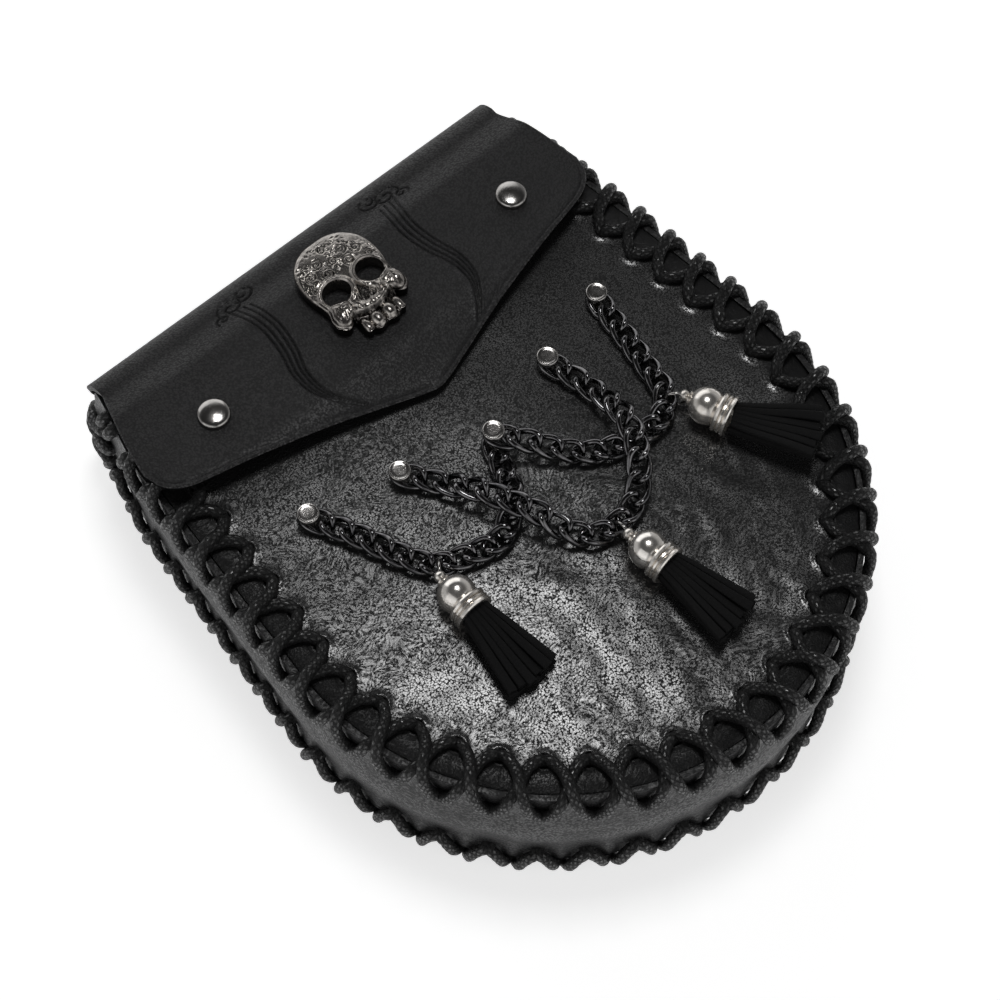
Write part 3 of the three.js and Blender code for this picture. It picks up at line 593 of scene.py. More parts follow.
def buildLeather(name, look):
    tree, shader, place = startMaterial(name)
    grain = useGroup(tree, leatherGrain, place, **{
        "Pebble Size": look["pebble"], "Pebble Depth": look["pebbleDepth"], "Wrinkle Size": look["wrinkle"],
        "Wrinkle Depth": look["wrinkleDepth"], "Crease Size": look["crease"], "Crease Depth": look["creaseDepth"]})
    if name == "frontLeather":
        tree.links.new(wornShare(tree, place, look["wrinkleDepth"]), grain.inputs["Wrinkle Depth"])
        tree.links.new(wornShare(tree, place, look["pebbleDepth"]), grain.inputs["Pebble Depth"])
    colour = mixColours(tree, spread(tree, grain.outputs["Tone"], 0.3, 0.7), look["dark"], look["light"])
    # Lighter, speckled colour close to the lacing holes and along the flap's border: partly worn, lighter leather,
    # partly a painted highlight on the raised hole lips and the flap's rim.
    if "rim" in look:
        close = spread(tree, storedValue(tree, "rim"), 0.0, look["rim"], 1.0, 0.0)
        speckle = spread(tree, noiseAt(tree, place, 1.4, 3.0).outputs[0], 0.46, 0.62)
        colour = mixColours(tree, times(tree, close, speckle), colour, (0.07, 0.069, 0.07))
    if "tooling" in look:
        pressed = spread(tree, storedValue(tree, "tooling"), 0.0, look["tooling"], 1.0, 0.0)
        colour = mixColours(tree, pressed, colour, (0.002, 0.002, 0.002))
    tree.links.new(colour, shader.inputs["Base Color"])
    rough = spread(tree, grain.outputs["Crests"], 0.0, 1.0, look["rough"][1], look["rough"][0])
    tree.links.new(rough, shader.inputs["Roughness"])
    gloss = mathNode(tree, "MULTIPLY", grain.outputs["Crests"], look["coat"], clamp=True)
    if name == "frontLeather":
        gloss = times(tree, gloss, spread(tree, storedValue(tree, "border"), 8.0, 15.0, 0.06, 1.0))
    tree.links.new(gloss, shader.inputs["Coat Weight"])
    setShader(shader, **{"Specular IOR Level": look["specular"], "Coat Roughness": look["sheen"], "Coat IOR": 2.2})
    bumpFrom(tree, shader, grain.outputs["Height"], look["bump"])


for name, look in leathers.items():
    buildLeather(name, look)

yarns = {
    "waxedCord": {"dark": (0.0018, 0.0018, 0.002), "light": (0.011, 0.011, 0.0115), "fibre": 0.36, "rough": 0.6,
                  "specular": 0.35, "bump": 0.4, "strands": 3.0, "pitch": 4.2, "plaitDepth": 0.6,
                  "wax": 0.7, "waxRough": 0.26},
    "suede": {"dark": (0.0045, 0.0045, 0.0047), "light": (0.018, 0.018, 0.0185), "fibre": 0.25, "rough": 0.9,
              "specular": 0.25, "bump": 0.08},
}
for name, look in yarns.items():
    tree, shader, place = startMaterial(name)
    fibres = useGroup(tree, yarn, place, **{"Fibre Size": look["fibre"]})
    toneBetween(tree, shader, fibres.outputs["Fluff"], look["dark"], look["light"], 0.1, 1.0)
    setShader(shader, **{"Roughness": look["rough"], "Specular IOR Level": look["specular"]})
    height = fibres.outputs["Height"]
    if "wax" in look:
        chart = addNode(tree, "ShaderNodeUVMap", uv_map="UVMap")
        wound = useGroup(tree, plait, chart.outputs[0], **{"Strands": look["strands"], "Pitch": look["pitch"]})
        height = timesPlus(tree, wound.outputs["Height"], look["plaitDepth"], height)
        tree.links.new(spread(tree, height, 1.3, 1.85, 0.0, look["wax"]), shader.inputs["Coat Weight"])
        setShader(shader, **{"Coat Roughness": look["waxRough"], "Coat IOR": 1.9})
    bumpFrom(tree, shader, height, look["bump"])

metals = {
    "capSteel": {"dark": (0.33, 0.32, 0.31), "light": (0.46, 0.445, 0.43), "rough": 0.17, "cloud": 5.0,
                 "scratch": 0.3},
    "brightNickel": {"dark": (0.72, 0.68, 0.63), "light": (0.88, 0.85, 0.81), "rough": 0.2, "cloud": 6.0,
                     "scratch": 0.2, "metallic": 0.9},
    "blackNickel": {"dark": (0.09, 0.09, 0.094), "light": (0.2, 0.197, 0.2), "rough": 0.11, "cloud": 3.0,
                    "scratch": 0.4},
    "agedPewter": {"dark": (0.2, 0.188, 0.178), "light": (0.48, 0.45, 0.42), "rough": 0.2, "cloud": 3.0,
                   "scratch": 0.5, "hollow": (0.012, 0.011, 0.0105)},
}
for name, look in metals.items():
    tree, shader, place = startMaterial(name)
    wear = useGroup(tree, metalWear, place, **{"Cloud Size": look["cloud"], "Scratch Depth": look["scratch"]})
    colour = mixColours(tree, spread(tree, wear.outputs["Cloud"], 0.3, 0.7), look["dark"], look["light"])
    if "hollow" in look:
        colour = mixColours(tree, storedValue(tree, "hollow"), colour, look["hollow"])
    tree.links.new(colour, shader.inputs["Base Color"])
    setShader(shader, Metallic=look.get("metallic", 1.0))
    tree.links.new(spread(tree, wear.outputs["Cloud"], 0.3, 0.7, look["rough"] * 1.35, look["rough"] * 0.8),
                   shader.inputs["Roughness"])
    bumpFrom(tree, shader, wear.outputs["Height"], 0.01)

tree, shader, place = startMaterial("floorPaper")
setShader(shader, **{"Base Color": (0.9, 0.9, 0.9, 1), "Roughness": 0.9,
                     "Emission Color": (1, 1, 1, 1), "Emission Strength": 0.62})
print("materials ready")


# Front panel.
frontLook = {
    "columns": 150, "rows": 150, "topY": 186.0, "holes": 18, "holeRadius": 2.3,
    "swell": 0.45, "folds": 0.24, "dimples": 0.06, "roll": 0.8, "holeLip": 0.38,
}


def panelSwell(x, y):
    look = frontLook
    edge = smooth(fromMiddle(x, y), wallRadius - 6, wallRadius - 18)
    low = smooth(-y, -20, 50)
    slow = look["swell"] * softNoise(x + 0.35 * y, y * 0.7, 34, 3.1, 2)
    folds = look["folds"] * (0.25 + low) * softNoise(x * 1.2 - 0.5 * y, y + 0.4 * x, 10, 7.7, 2)
    dimples = look["dimples"] * (0.15 + low) * softNoise(x + 0.3 * y, y * 0.8 - 0.3 * x, 4.6, 5.3, 2)
    toEdge = wallRadius - fromMiddle(x, y)
    return edge * (slow + folds + dimples) - look["roll"] * (1 - smooth(toEdge, 0, 9)) ** 2


def holeCutters(centres, radius, reach, sides=20):
    pieces = []
    for centre in centres:
        deselectAll()
        bpy.ops.mesh.primitive_cylinder_add(vertices=sides, radius=radius, depth=reach)
        pieces.append(bpy.context.object)
        writePoints(pieces[-1], readPoints(pieces[-1]) + centre)
    return joinAll("cutter", pieces)


def buildFrontPanel():
    look = frontLook
    topTravel = travelAt(tipY + look["topY"], wallRadius)

    def shape(u, v):
        travel = (v + 1) / 2 * topTravel
        edgeX, y = outlineAt(travel, panelEdge(travel, pouch["frontZ"]))
        x = u * edgeX
        return x, y, frontSurface(x, y) + panelSwell(x, y)

    piece = addGrid("front_panel_leather", look["columns"], look["rows"], shape)
    mergeDoubles(piece)
    indexes = np.arange(-look["holes"], look["holes"] + 1) * pouch["lacePitch"]
    holeX, holeY = outlineAt(indexes, pouch["holeRow"])

    def toHole():
        spots = readPoints(piece)
        return spots, np.min(np.hypot(spots[:, 0:1] - holeX, spots[:, 1:2] - holeY), axis=1)

    for reach in (4.3, 3.1):
        subdivideWhere(piece, toHole()[1] < reach)
    spots, nearest = toHole()
    spots[:, 2] += look["holeLip"] * np.exp(-((nearest - look["holeRadius"] - 0.45) / 0.6) ** 2)
    writePoints(piece, spots)
    storeValue(piece, "rim", np.minimum(np.maximum(nearest - look["holeRadius"], 0), 6))
    storeValue(piece, "border", wallRadius - fromMiddle(spots[:, 0], spots[:, 1]))
    giveWall(piece, pouch["leather"], 0.4, material=1)
    centres = np.stack([holeX, holeY, np.full(len(holeX), pouch["frontZ"])], axis=1)
    cutAway(piece, holeCutters(centres, look["holeRadius"], 8))
    finishPiece(piece, "front_leather", "front_panel", surface=["frontLeather", "cutEdge"])


buildFrontPanel()
print("front panel made")


# Gusset wall.
gussetLook = {"columns": 330, "rows": 40, "bulge": 1.6, "swell": 0.7, "cornerTop": 39.0}


def buildGusset():
    radius = pouch["bendRadius"]
    reach = bendTravel + radius

    def shape(u, v):
        travel = u * reach
        past = np.clip(np.abs(travel) - bendTravel, 0, radius)
        low = pouch["backZ"] + radius - np.sqrt(np.maximum(radius ** 2 - past ** 2, 0))
        high = lerp(pouch["frontZ"], gussetLook["cornerTop"], smooth(past / radius, 0.5, 0.95))
        z = lerp(low, high, (v + 1) / 2)
        height = (z - pouch["backZ"]) / (pouch["frontZ"] - pouch["backZ"])
        middle = np.maximum(0, 1 - (np.abs(height - 0.5) / 0.3) ** 2) ** 2
        wide = np.maximum(0, 1 - (np.abs(height - 0.5) / 0.42) ** 2) ** 2
        fade = smooth(reach - np.abs(travel), 30, 60)
        swell = gussetLook["swell"] * wide * softNoise(travel, z * 1.6, 20, 8.2, 2)
        out = gussetLook["bulge"] * middle * fade + swell
        x, y = outlineAt(travel, wallFace(travel, z) + out)
        return x, y, z

    piece = addGrid("gusset_leather", gussetLook["columns"], gussetLook["rows"], shape)
    mergeDoubles(piece, 0.01)
    giveWall(piece, pouch["leather"], 0.86, segments=5, material=1)
    finishPiece(piece, "front_leather", "gusset", surface=["wallLeather", "cutEdge"])


buildGusset()
print("gusset made")


# Back, top wall and flap: one hide.
flapLook = {
    "clearZ": 61.1, "apexZ": 57.7, "crown": 0.8, "belly": 0.8, "clearY": 182.0, "drift": 0.9,
    "columns": 144, "backRows": 30, "wallRows": 28, "flapRows": 60,
    "swell": 0.3, "grooveDepth": 0.45, "grooveWidth": 0.28,
    "edge": [(0, 129.8), (5, 130.9), (11, 132.9), (20, 135.9), (33, 140.1), (47, 143.9), (60, 147.2), (71, 149.7),
             (78, 151.8), (82.8, 155.0), (85.2, 159.0), (86, 163)],
}
flapStartY = foldY - pouch["rollRadius"] - tipY


def flapTop(x, y):
    startZ = rollStartZ + pouch["rollRadius"]
    lifted = lerp(flapLook["clearZ"], startZ, smooth(y, flapLook["clearY"], flapStartY))
    lowered = lerp(flapLook["apexZ"], flapLook["clearZ"], smooth(y, flapLook["edge"][0][1], 150))
    crown = flapLook["crown"] * np.maximum(0, 1 - (x / 80) ** 2) * smooth(flapStartY - y, 0, 20)
    return np.minimum(lifted, lowered) + crown


# Tooled scroll of one side: lines beside a spine, and curls at its upper end.
scrollLook = {
    "spine": [(29.3, 190.2), (28.0, 184), (27.2, 177), (28.4, 168), (31.0, 159), (30.6, 151), (27.6, 145),
              (22.8, 139.2)],
    "offsets": (-3.3, -1.2, 1.2, 3.3),
    "curls": [(31.0, 192.6, 4.2, 1.4, 1), (25.2, 194.4, 3.4, 1.3, -1), (35.6, 190.2, 2.2, 1.1, 1)],
}


def scrollLines(side):
    lines = []
    spine = np.array(scrollLook["spine"])
    for offset in scrollLook["offsets"]:
        room = offset * np.linspace(1, 0.12, len(spine)) ** 0.7
        lines.append(splineThrough([(x + o, y + 0.35 * o, 0) for (x, y), o in zip(spine, room)], 12))
    for centreX, centreY, size, turns, way in scrollLook["curls"]:
        t = np.linspace(0, 1, 60)
        angle = way * (t * turns * 2 * math.pi) - 0.6
        r = size * (1 - 0.8 * t)
        x, y = centreX + r * np.cos(angle) * 1.25, centreY + r * np.sin(angle) * 0.8
        lines.append(np.stack([x, y, 0 * t], axis=1))
    return [line * np.array([side, 1, 1]) for line in lines]


def nearestLine(x, y, lines):
    nearest = np.full(len(x), 9.0)
    for line in lines:
        low, high = line.min(axis=0) - 4, line.max(axis=0) + 4
        index = np.nonzero((x > low[0]) & (x < high[0]) & (y > low[1]) & (y < high[1]))[0]
        for a, b in zip(line[:-1], line[1:]):
            run = b[:2] - a[:2]
            t = np.clip(((x[index] - a[0]) * run[0] + (y[index] - a[1]) * run[1]) / max(run.dot(run), 1e-9), 0, 1)
            away = np.hypot(x[index] - a[0] - t * run[0], y[index] - a[1] - t * run[1])
            nearest[index] = np.minimum(nearest[index], away)
    return nearest


# The flap's free border, from its left end at the roll round to its right end.
def flapRim(edgeLine):
    look = flapLook
    share = np.linspace(0, 1, 24)
    side = []
    for way, end in ((-1, edgeLine[0]), (1, edgeLine[-1])):
        x = lerp(way * pouch["halfWidth"], end[0], share) + way * look["belly"] * np.sin(math.pi * share)
        x = x - look["drift"] * smooth(share, 0, 1)
        side.append(np.stack([x, lerp(flapStartY, end[1], share), 0 * x], axis=1))
    drifted = edgeLine - np.array([look["drift"], 0, 0])
    return np.vstack([side[0], drifted[1:-1], side[1][::-1]])


def buildBackAndFlap():
    look = flapLook
    leftEdge = [(-x, y, 0) for x, y in reversed(look["edge"][1:])]
    edgeLine = splineThrough(leftEdge + [(x, y, 0) for x, y in look["edge"]], 16)
    radius, roll = pouch["bendRadius"], pouch["rollRadius"]
    backEnd = travelAt(foldY - radius, panelEdge(bendTravel, pouch["backZ"]))
    endX = outlineAt(backEnd, panelEdge(backEnd, pouch["backZ"]))[0]
    wallLength = radius * math.pi / 2 + (rollStartZ - pouch["backZ"] - radius) + roll * math.pi / 2
    stages = np.cumsum([0, look["backRows"], look["wallRows"], look["flapRows"]])
    edgeShare = edgeLine[:, 0] / edgeLine[-1, 0]

    def shape(u, v):
        row = (v + 1) / 2 * stages[-1]
        x, y, z = np.zeros(len(u)), np.zeros(len(u)), np.zeros(len(u))
        u = -u
        back = row <= stages[1] + 1e-6
        travel = row[back] / stages[1] * backEnd
        edgeX, backY = outlineAt(travel, panelEdge(travel, pouch["backZ"]))
        narrowing = (pouch["wallHalfWidth"] - endX) * smooth(backY, foldY - radius - 20, foldY - radius)
        x[back], y[back], z[back] = u[back] * (edgeX + narrowing), backY, pouch["backZ"]
        wall = (~back) & (row <= stages[2] + 1e-6)
        run = (row[wall] - stages[1]) / look["wallRows"] * wallLength
        bend = np.clip(run / radius, 0, math.pi / 2)
        straight = np.clip(run - radius * math.pi / 2, 0, rollStartZ - pouch["backZ"] - radius)
        over = np.clip((run - radius * math.pi / 2 - (rollStartZ - pouch["backZ"] - radius)) / roll, 0, math.pi / 2)
        y[wall] = np.where(over > 0, foldY - roll + roll * np.cos(over), foldY - radius + radius * np.sin(bend))
        z[wall] = pouch["backZ"] + radius * (1 - np.cos(bend)) + straight + roll * np.sin(over)
        half = lerp(pouch["wallHalfWidth"], pouch["halfWidth"], smooth(z[wall], pouch["wallTop"], 50))
        x[wall] = u[wall] * half
        flap = row > stages[2] + 1e-6
        share = (row[flap] - stages[2]) / look["flapRows"]
        endXs = np.interp(u[flap], edgeShare, edgeLine[:, 0])
        endYs = np.interp(u[flap], edgeShare, edgeLine[:, 1])
        belly = np.abs(u[flap]) ** 6 * look["belly"] * np.sin(math.pi * share) * np.sign(u[flap])
        flapX = lerp(u[flap] * pouch["halfWidth"], endXs, share) + belly - look["drift"] * smooth(share, 0, 1)
        flapY = lerp(flapStartY, endYs, share)
        x[flap], y[flap], z[flap] = flapX, tipY + flapY, flapTop(flapX, flapY)
        return x, y, z

    piece = addGrid("back_and_flap_leather", look["columns"], int(stages[-1]), shape)
    mergeDoubles(piece)
    lines = scrollLines(1) + scrollLines(-1)
    rim = flapRim(edgeLine)

    def onFlap():
        spots = readPoints(piece)
        high = (spots[:, 2] > 56) & (spots[:, 1] < flapStartY + tipY + 4)
        tooled = np.where(high, nearestLine(spots[:, 0], spots[:, 1] - tipY, lines), 9.0)
        border = np.where(high, nearestLine(spots[:, 0], spots[:, 1] - tipY, [rim]), 9.0)
        return spots, high, tooled, border

    for reach in (1.9, 1.0):
        spots, high, tooled, border = onFlap()
        subdivideWhere(piece, (tooled < reach) | (border < reach + 0.2))
    spots, high, tooled, border = onFlap()
    width = look["grooveWidth"]
    pressed = -np.exp(-(tooled / width) ** 2) + 0.25 * np.exp(-((tooled - 2.3 * width) / width) ** 2)
    creased = -0.3 * np.exp(-((border - 1.5) / 0.3) ** 2) - 0.45 * np.maximum(0, 1 - border / 0.8) ** 2
    swell = look["swell"] * softNoise(spots[:, 0], spots[:, 1], 30, 5.5, 2)
    swell = swell * smooth(flapStartY + tipY - spots[:, 1], 0, 12)
    spots[:, 2] += np.where(high, look["grooveDepth"] * pressed + creased + swell, 0)
    writePoints(piece, spots)
    storeValue(piece, "tooling", np.minimum(tooled, 6))
    storeValue(piece, "rim", np.minimum(border, 6))
    giveWall(piece, pouch["flapLeather"], 0.35, lining=1)
    finishPiece(piece, "flap_leather", "back_and_flap", surface=["flapLeather", "liningLeather", "cutEdge"])


buildBackAndFlap()
print("back and flap made")


# Lacing.
laceLook = {"cord": 1.82, "sides": 16, "step": 0.72, "deep": 7.3, "windings": 2, "floor": 0.1}


# Corner of an edge at a number of hole pitches from the bottom tip, with the directions that start from it.
def frontCorner(index):
    travel = index * pouch["lacePitch"]
    face = wallFace(travel, pouch["frontZ"])
    x, y = outlineAt(travel, face)
    innerX, innerY = outlineAt(travel, face - 1)
    normal = np.array([x - innerX, y - innerY, 0])

    def onFace(drop):
        z = pouch["frontZ"] - drop
        return np.array([*outlineAt(travel, wallFace(travel, z)), z])

    return np.array([x, y, pouch["frontZ"]]), np.array([0, 0, 1.0]), normal, -normal, onFace


def backCorner(index):
    travel = index * pouch["lacePitch"]
    radius = pouch["bendRadius"]
    past = max(0.0, abs(travel) - bendTravel)
    bend = min(past / radius, math.pi / 2)
    run = min(abs(travel), bendTravel) + radius * math.sin(bend)
    sign = 1 if travel >= 0 else -1
    z = pouch["backZ"] + radius * (1 - math.cos(bend)) + max(0.0, past - radius * math.pi / 2)
    face = wallFace(run, z)
    x, y = outlineAt(sign * run, face)
    innerX, innerY = outlineAt(sign * run, face - 1)
    normal = np.array([x - innerX, y - innerY, 0])
    panel = np.array([0, math.sin(bend), -math.cos(bend)])
    inward = panel * normal.dot(panel) - normal

    def onFace(drop):
        at, height = run - drop * math.sin(bend), z + drop * math.cos(bend)
        return np.array([*outlineAt(sign * at, wallFace(at, height)), height])

    return np.array([x, y, z]), panel, normal, unit(inward), onFace


# Two strands leave every hole. The forward one passes over the neighbour's backward one, close to the edge.
def lacePaths(cornerAt, lastHole, windings):
    cord, deep = laceLook["cord"], laceLook["deep"]

    def onPanel(index, inset, height):
        corner, panel, _, inward, _ = cornerAt(index)
        return corner + inward * inset + panel * height

    def overEdge(index, height):
        corner, panel, normal, *_ = cornerAt(index)
        return corner + (panel + normal) * height

    def onWall(index, drop, height):
        _, _, normal, _, onFace = cornerAt(index)
        return onFace(drop) + normal * height

    paths = []
    for i in range(-lastHole, lastHole + 1):
        margin = pouch["laceMargin"] - wallRadius + wallFace(i * pouch["lacePitch"], pouch["frontZ"])
        for way in (1, -1):
            if abs(i + way) > lastHole:
                continue
            top = 2.75 * cord if way > 0 else 1.05 * cord
            paths.append([
                onPanel(i + 0.01 * way, margin + 0.5, -2.6), onPanel(i + 0.05 * way, margin + 0.1, 0.3),
                onPanel(i + 0.18 * way, margin - 0.9, cord + 0.1),
                onPanel(i + 0.33 * way, margin - 2.7, cord + 0.3),
                onPanel(i + 0.44 * way, margin - 5.6, lerp(cord, top, 0.55)), onPanel(i + 0.52 * way, 2.4, top),
                overEdge(i + 0.64 * way, 1.6 if way > 0 else 1.1), onWall(i + 0.75 * way, 3.4, cord + 0.4),
                onWall(i + 0.86 * way, 6.0, cord + 0.1), onWall(i + 0.95 * way, deep, 0.9 * cord),
                onWall(i + way, deep + 0.5, -2.2)])
    for side in (-1, 1):
        for k in range(windings):
            start = side * (lastHole + 0.45 + 0.4 * k)
            paths.append([
                onPanel(start - 0.1 * side, 3.5, -1.5), onPanel(start - 0.05 * side, 2.0, 1.2),
                overEdge(start, 1.4),
                onWall(start + 0.15 * side, 3.6, cord + 0.4), onWall(start + 0.25 * side, deep - 2, cord + 0.2),
                onWall(start + 0.32 * side, deep, 0.9 * cord), onWall(start + 0.35 * side, deep + 0.8, -2.0)])
    return paths


def buildLacing(name, slotName, node, cornerAt, lastHole, windings):
    look = laceLook
    count = look["sides"]
    spots, faces, places, offset = [], [], [], 0
    for number, path in enumerate(lacePaths(cornerAt, lastHole, windings)):
        line = evenSteps(splineThrough(path, 10), look["step"])
        ups, sides = carriedFrames(line, np.array(path[1]) - np.array(path[0]) + np.array([0.3, 0.2, 0.1]))
        travel = np.arange(len(line)) * look["step"]
        lumps = 1 + 0.07 * softNoise(travel, travel * 0 + 3.7 * number, 3.4, 4.4, 2)
        lumps = lumps + 0.03 * np.sin(travel * 2.7 + number)
        rings = tubeRings(line, ups, sides, look["cord"] * lumps, count, 0.94)
        rings[..., 2] = np.maximum(rings[..., 2], look["floor"])
        spots.append(rings.reshape(-1, 3))
        faces += ringFaces(len(line), count, False, offset)
        around = np.arange(count) / count
        for i in range(len(line) - 1):
            here, there = (travel[i] + 11.3 * number) / 10, (travel[i + 1] + 11.3 * number) / 10
            for left in around:
                right = left + 1 / count
                places += [left, here, right, here, right, there, left, there]
        places += [0.5, travel[0] / 10] * (2 * count)
        offset += len(line) * count
    piece = meshPiece(name, np.vstack(spots), faces)
    chart = piece.data.uv_layers.new(name="UVMap")
    chart.data.foreach_set("uv", np.array(places, dtype=float))
    faceOutward(piece)
    finishPiece(piece, slotName, node, surface=["waxedCord"], angle=60)


buildLacing("front_edge_lacing", "lacing_cord", "front_lacing", frontCorner, 18, laceLook["windings"])
buildLacing("back_edge_lacing", "lacing_cord", "back_lacing", backCorner, 22, 0)
print("lacing made")


# Belt loop.
loopLook = {"y": 118.0, "halfX": 47.0, "half": 36.0, "tunnel": 24.4, "leather": 1.5}


def buildBeltLoop():
    look = loopLook
    middleY = tipY + look["y"]
    top, low = pouch["backZ"] - pouch["gap"] - look["leather"], 0.0
    half, tunnel = look["half"], look["tunnel"]
    side = [(half, top), (half - 2, top), (tunnel + 7.5, top), (tunnel + 4, top - 1.9), (tunnel + 0.6, low + 0.15),
            (tunnel - 4, low)]
    points = [(-y, z, 0) for y, z in side] + [(0, low, 0)] + [(y, z, 0) for y, z in reversed(side)]
    line = splineThrough(points, 12)
    travel = travelAlong(line)

    def shape(u, v):
        at = (v + 1) / 2 * travel[-1]
        y, z = np.interp(at, travel, line[:, 0]), np.interp(at, travel, line[:, 1])
        return -u * look["halfX"], middleY + y, z

    piece = addGrid("belt_loop_leather", 60, 90, shape)
    giveWall(piece, look["leather"], 0.3)
    finishPiece(piece, "front_leather", "belt_loop", surface=["wallLeather", "cutEdge"])


buildBeltLoop()
print("belt loop made")


# Snap caps, rivets.
snapLook = {"x": 59.1, "y": 165.1, "radius": 5.0, "height": 2.6}
for sideName, side in (("left", -1), ("right", 1)):
    r, h = snapLook["radius"], snapLook["height"]
    cap = spinProfile(f"snap_cap_{sideName}_metal", [
        (0, 0.02), (r - 0.2, 0.02), (r, 0.2), (r, 1.05), (r - 0.1, 1.4), (r - 0.35, 1.72), (r * 0.85, 1.96),
        (r * 0.65, 2.25), (r * 0.4, 2.46), (r * 0.2, h - 0.04), (0, h)], 64)
    base = float(flapTop(np.array(snapLook["x"]), np.array(snapLook["y"]))) + 0.1
    writePoints(cap, readPoints(cap) + np.array([side * snapLook["x"], tipY + snapLook["y"], base]))
    finishPiece(cap, "nickel", f"snap_cap_{sideName}", surface=["capSteel"], angle=35)

rivetLook = {"capRadius": 3.4, "capThickness": 1.6, "postRadius": 1.0, "under": 4.3, "stack": 3.8}
rivets = [(-58.2, 123.2, 1), (-29.4, 115.8, 1), (-1.4, 106.0, 2), (29.4, 115.8, 1), (56.6, 123.1, 1)]
for number, (x, y, chains) in enumerate(rivets, 1):
    under = rivetLook["under"] + (chains - 1) * rivetLook["stack"]
    top, r = under + rivetLook["capThickness"], rivetLook["capRadius"]
    stud = spinProfile(f"chain_rivet_{number}_metal", [
        (0, 0), (2.4, 0), (2.4, 0.3), (1.2, 0.55), (rivetLook["postRadius"], 0.9), (rivetLook["postRadius"], under),
        (r - 0.25, under), (r, under + 0.25), (r, top - 0.5), (r - 0.14, top - 0.2), (r - 0.45, top - 0.02),
        (r - 0.6, top), (r - 0.8, top - 0.1), (r * 0.5, top - 0.14), (0, top - 0.12)], 56)
    base = frontHeight(x, tipY + y) + 0.1
    writePoints(stud, readPoints(stud) + np.array([x, tipY + y, base + 0.35]))
    finishPiece(stud, "nickel", f"chain_rivet_{number}", surface=["capSteel"], angle=35)
print("caps and rivets made")


# Chains.
linkLook = {"halfLength": 4.5, "halfWidth": 2.75, "twist": 1.5, "wire": 0.95, "sides": 10, "steps": 36}
chainLook = {"height": 2.9, "endHeight": 2.6, "lift": 4.9, "endRoom": 2.6}
swags = [
    {"name": "left", "links": 15, "single": 9, "stretches": 2, "crossings": [], "startStack": 0.0,
     "route": [(-58.2, 123.2), (-54.6, 116.4), (-50.4, 107.6), (-46.0, 96.2), (-40.6, 87.4), (-31.0, 82.9),
               (-20.5, 80.8), (-13.4, 85.0), (-8.6, 90.0), (-5.2, 97.4), (-1.4, 106.0)]},
    {"name": "middle", "links": 21, "single": 12, "stretches": 2, "crossings": [(-12.6, 85.9), (29.6, 78.9)],
     "startStack": 0.0,
     "route": [(-29.4, 115.8), (-24.6, 109.5), (-19.2, 100.5), (-14.4, 89.9), (-10.0, 80.6), (-6.0, 70.9),
               (0.6, 63.4), (9.4, 61.8), (18.2, 64.7), (25.6, 72.1), (30.6, 80.5), (32.8, 90.7), (32.8, 101.7),
               (29.4, 115.8)]},
    {"name": "right", "links": 16, "single": 9, "stretches": 2, "crossings": [], "startStack": 3.8,
     "route": [(-1.4, 106.0), (4.6, 98.6), (10.8, 90.9), (20.0, 82.9), (31.0, 79.2), (41.5, 79.0),
               (48.8, 84.6), (51.6, 95.3), (54.2, 108.5), (56.6, 123.1)]},
]


def linkFrames(swag):
    line = splineThrough([(x, tipY + y, 0) for x, y in swag["route"]], 60)
    travel = travelAlong(line)
    pitch = (travel[-1] - 2 * chainLook["endRoom"]) / (swag["links"] - 1)
    first, last = line[0][:2], line[-1][:2]

    def rise(x, y):
        spot = np.array([x, y])
        toStart, toEnd = np.linalg.norm(spot - first), np.linalg.norm(spot - last)
        height = lerp(chainLook["endHeight"], chainLook["height"], smooth(min(toStart, toEnd), 2, 12))
        height += swag["startStack"] * (1 - smooth(toStart, 6, 28))
        for cx, cy in swag["crossings"]:
            reach = np.linalg.norm(spot - np.array([cx, tipY + cy]))
            height = max(height, chainLook["height"] + chainLook["lift"] * (1 - smooth(reach, 6, 24)))
        return float(height)

    def spotAt(at):
        at = min(max(at, 0), travel[-1])
        x, y = np.interp(at, travel, line[:, 0]), np.interp(at, travel, line[:, 1])
        return np.array([x, y, frontHeight(x, y) + rise(x, y)])

    frames = []
    for i in range(swag["links"]):
        at = chainLook["endRoom"] + i * pitch
        along = unit(spotAt(at + 2) - spotAt(at - 2))
        side = unit(np.cross([0, 0, 1.0], along))
        frames.append((spotAt(at), along, side, np.cross(along, side)))
    return frames


def linkMesh(flatStart, flatEnd):
    look = linkLook
    corners = []
    for sx, sy, order in ((1, 1, 1), (-1, 1, -1), (-1, -1, 1), (1, -1, -1)):
        quarter = [(1, 0.45, 1), (0.55, 1, 0.75)][::order]
        flat = 0 if (flatEnd if sx > 0 else flatStart) else 1
        corners += [(look["halfLength"] * sx * x, look["halfWidth"] * sy * y, look["twist"] * sx * sy * z * flat)
                    for x, y, z in quarter]
    line = evenSteps(splineThrough(corners, 12, closed=True), 0.5, closed=True)
    pick = np.linspace(0, len(line), look["steps"], endpoint=False).astype(int)
    line = line[pick]
    ahead = np.roll(line, -1, axis=0) - np.roll(line, 1, axis=0)
    along = unit(ahead)
    ups = unit(np.array([0, 0, 1.0]) - along * along[:, 2:3])
    rings = tubeRings(line, ups, np.cross(along, ups), look["wire"], look["sides"])
    return rings.reshape(-1, 3), ringFaces(len(line), look["sides"], True, 0)


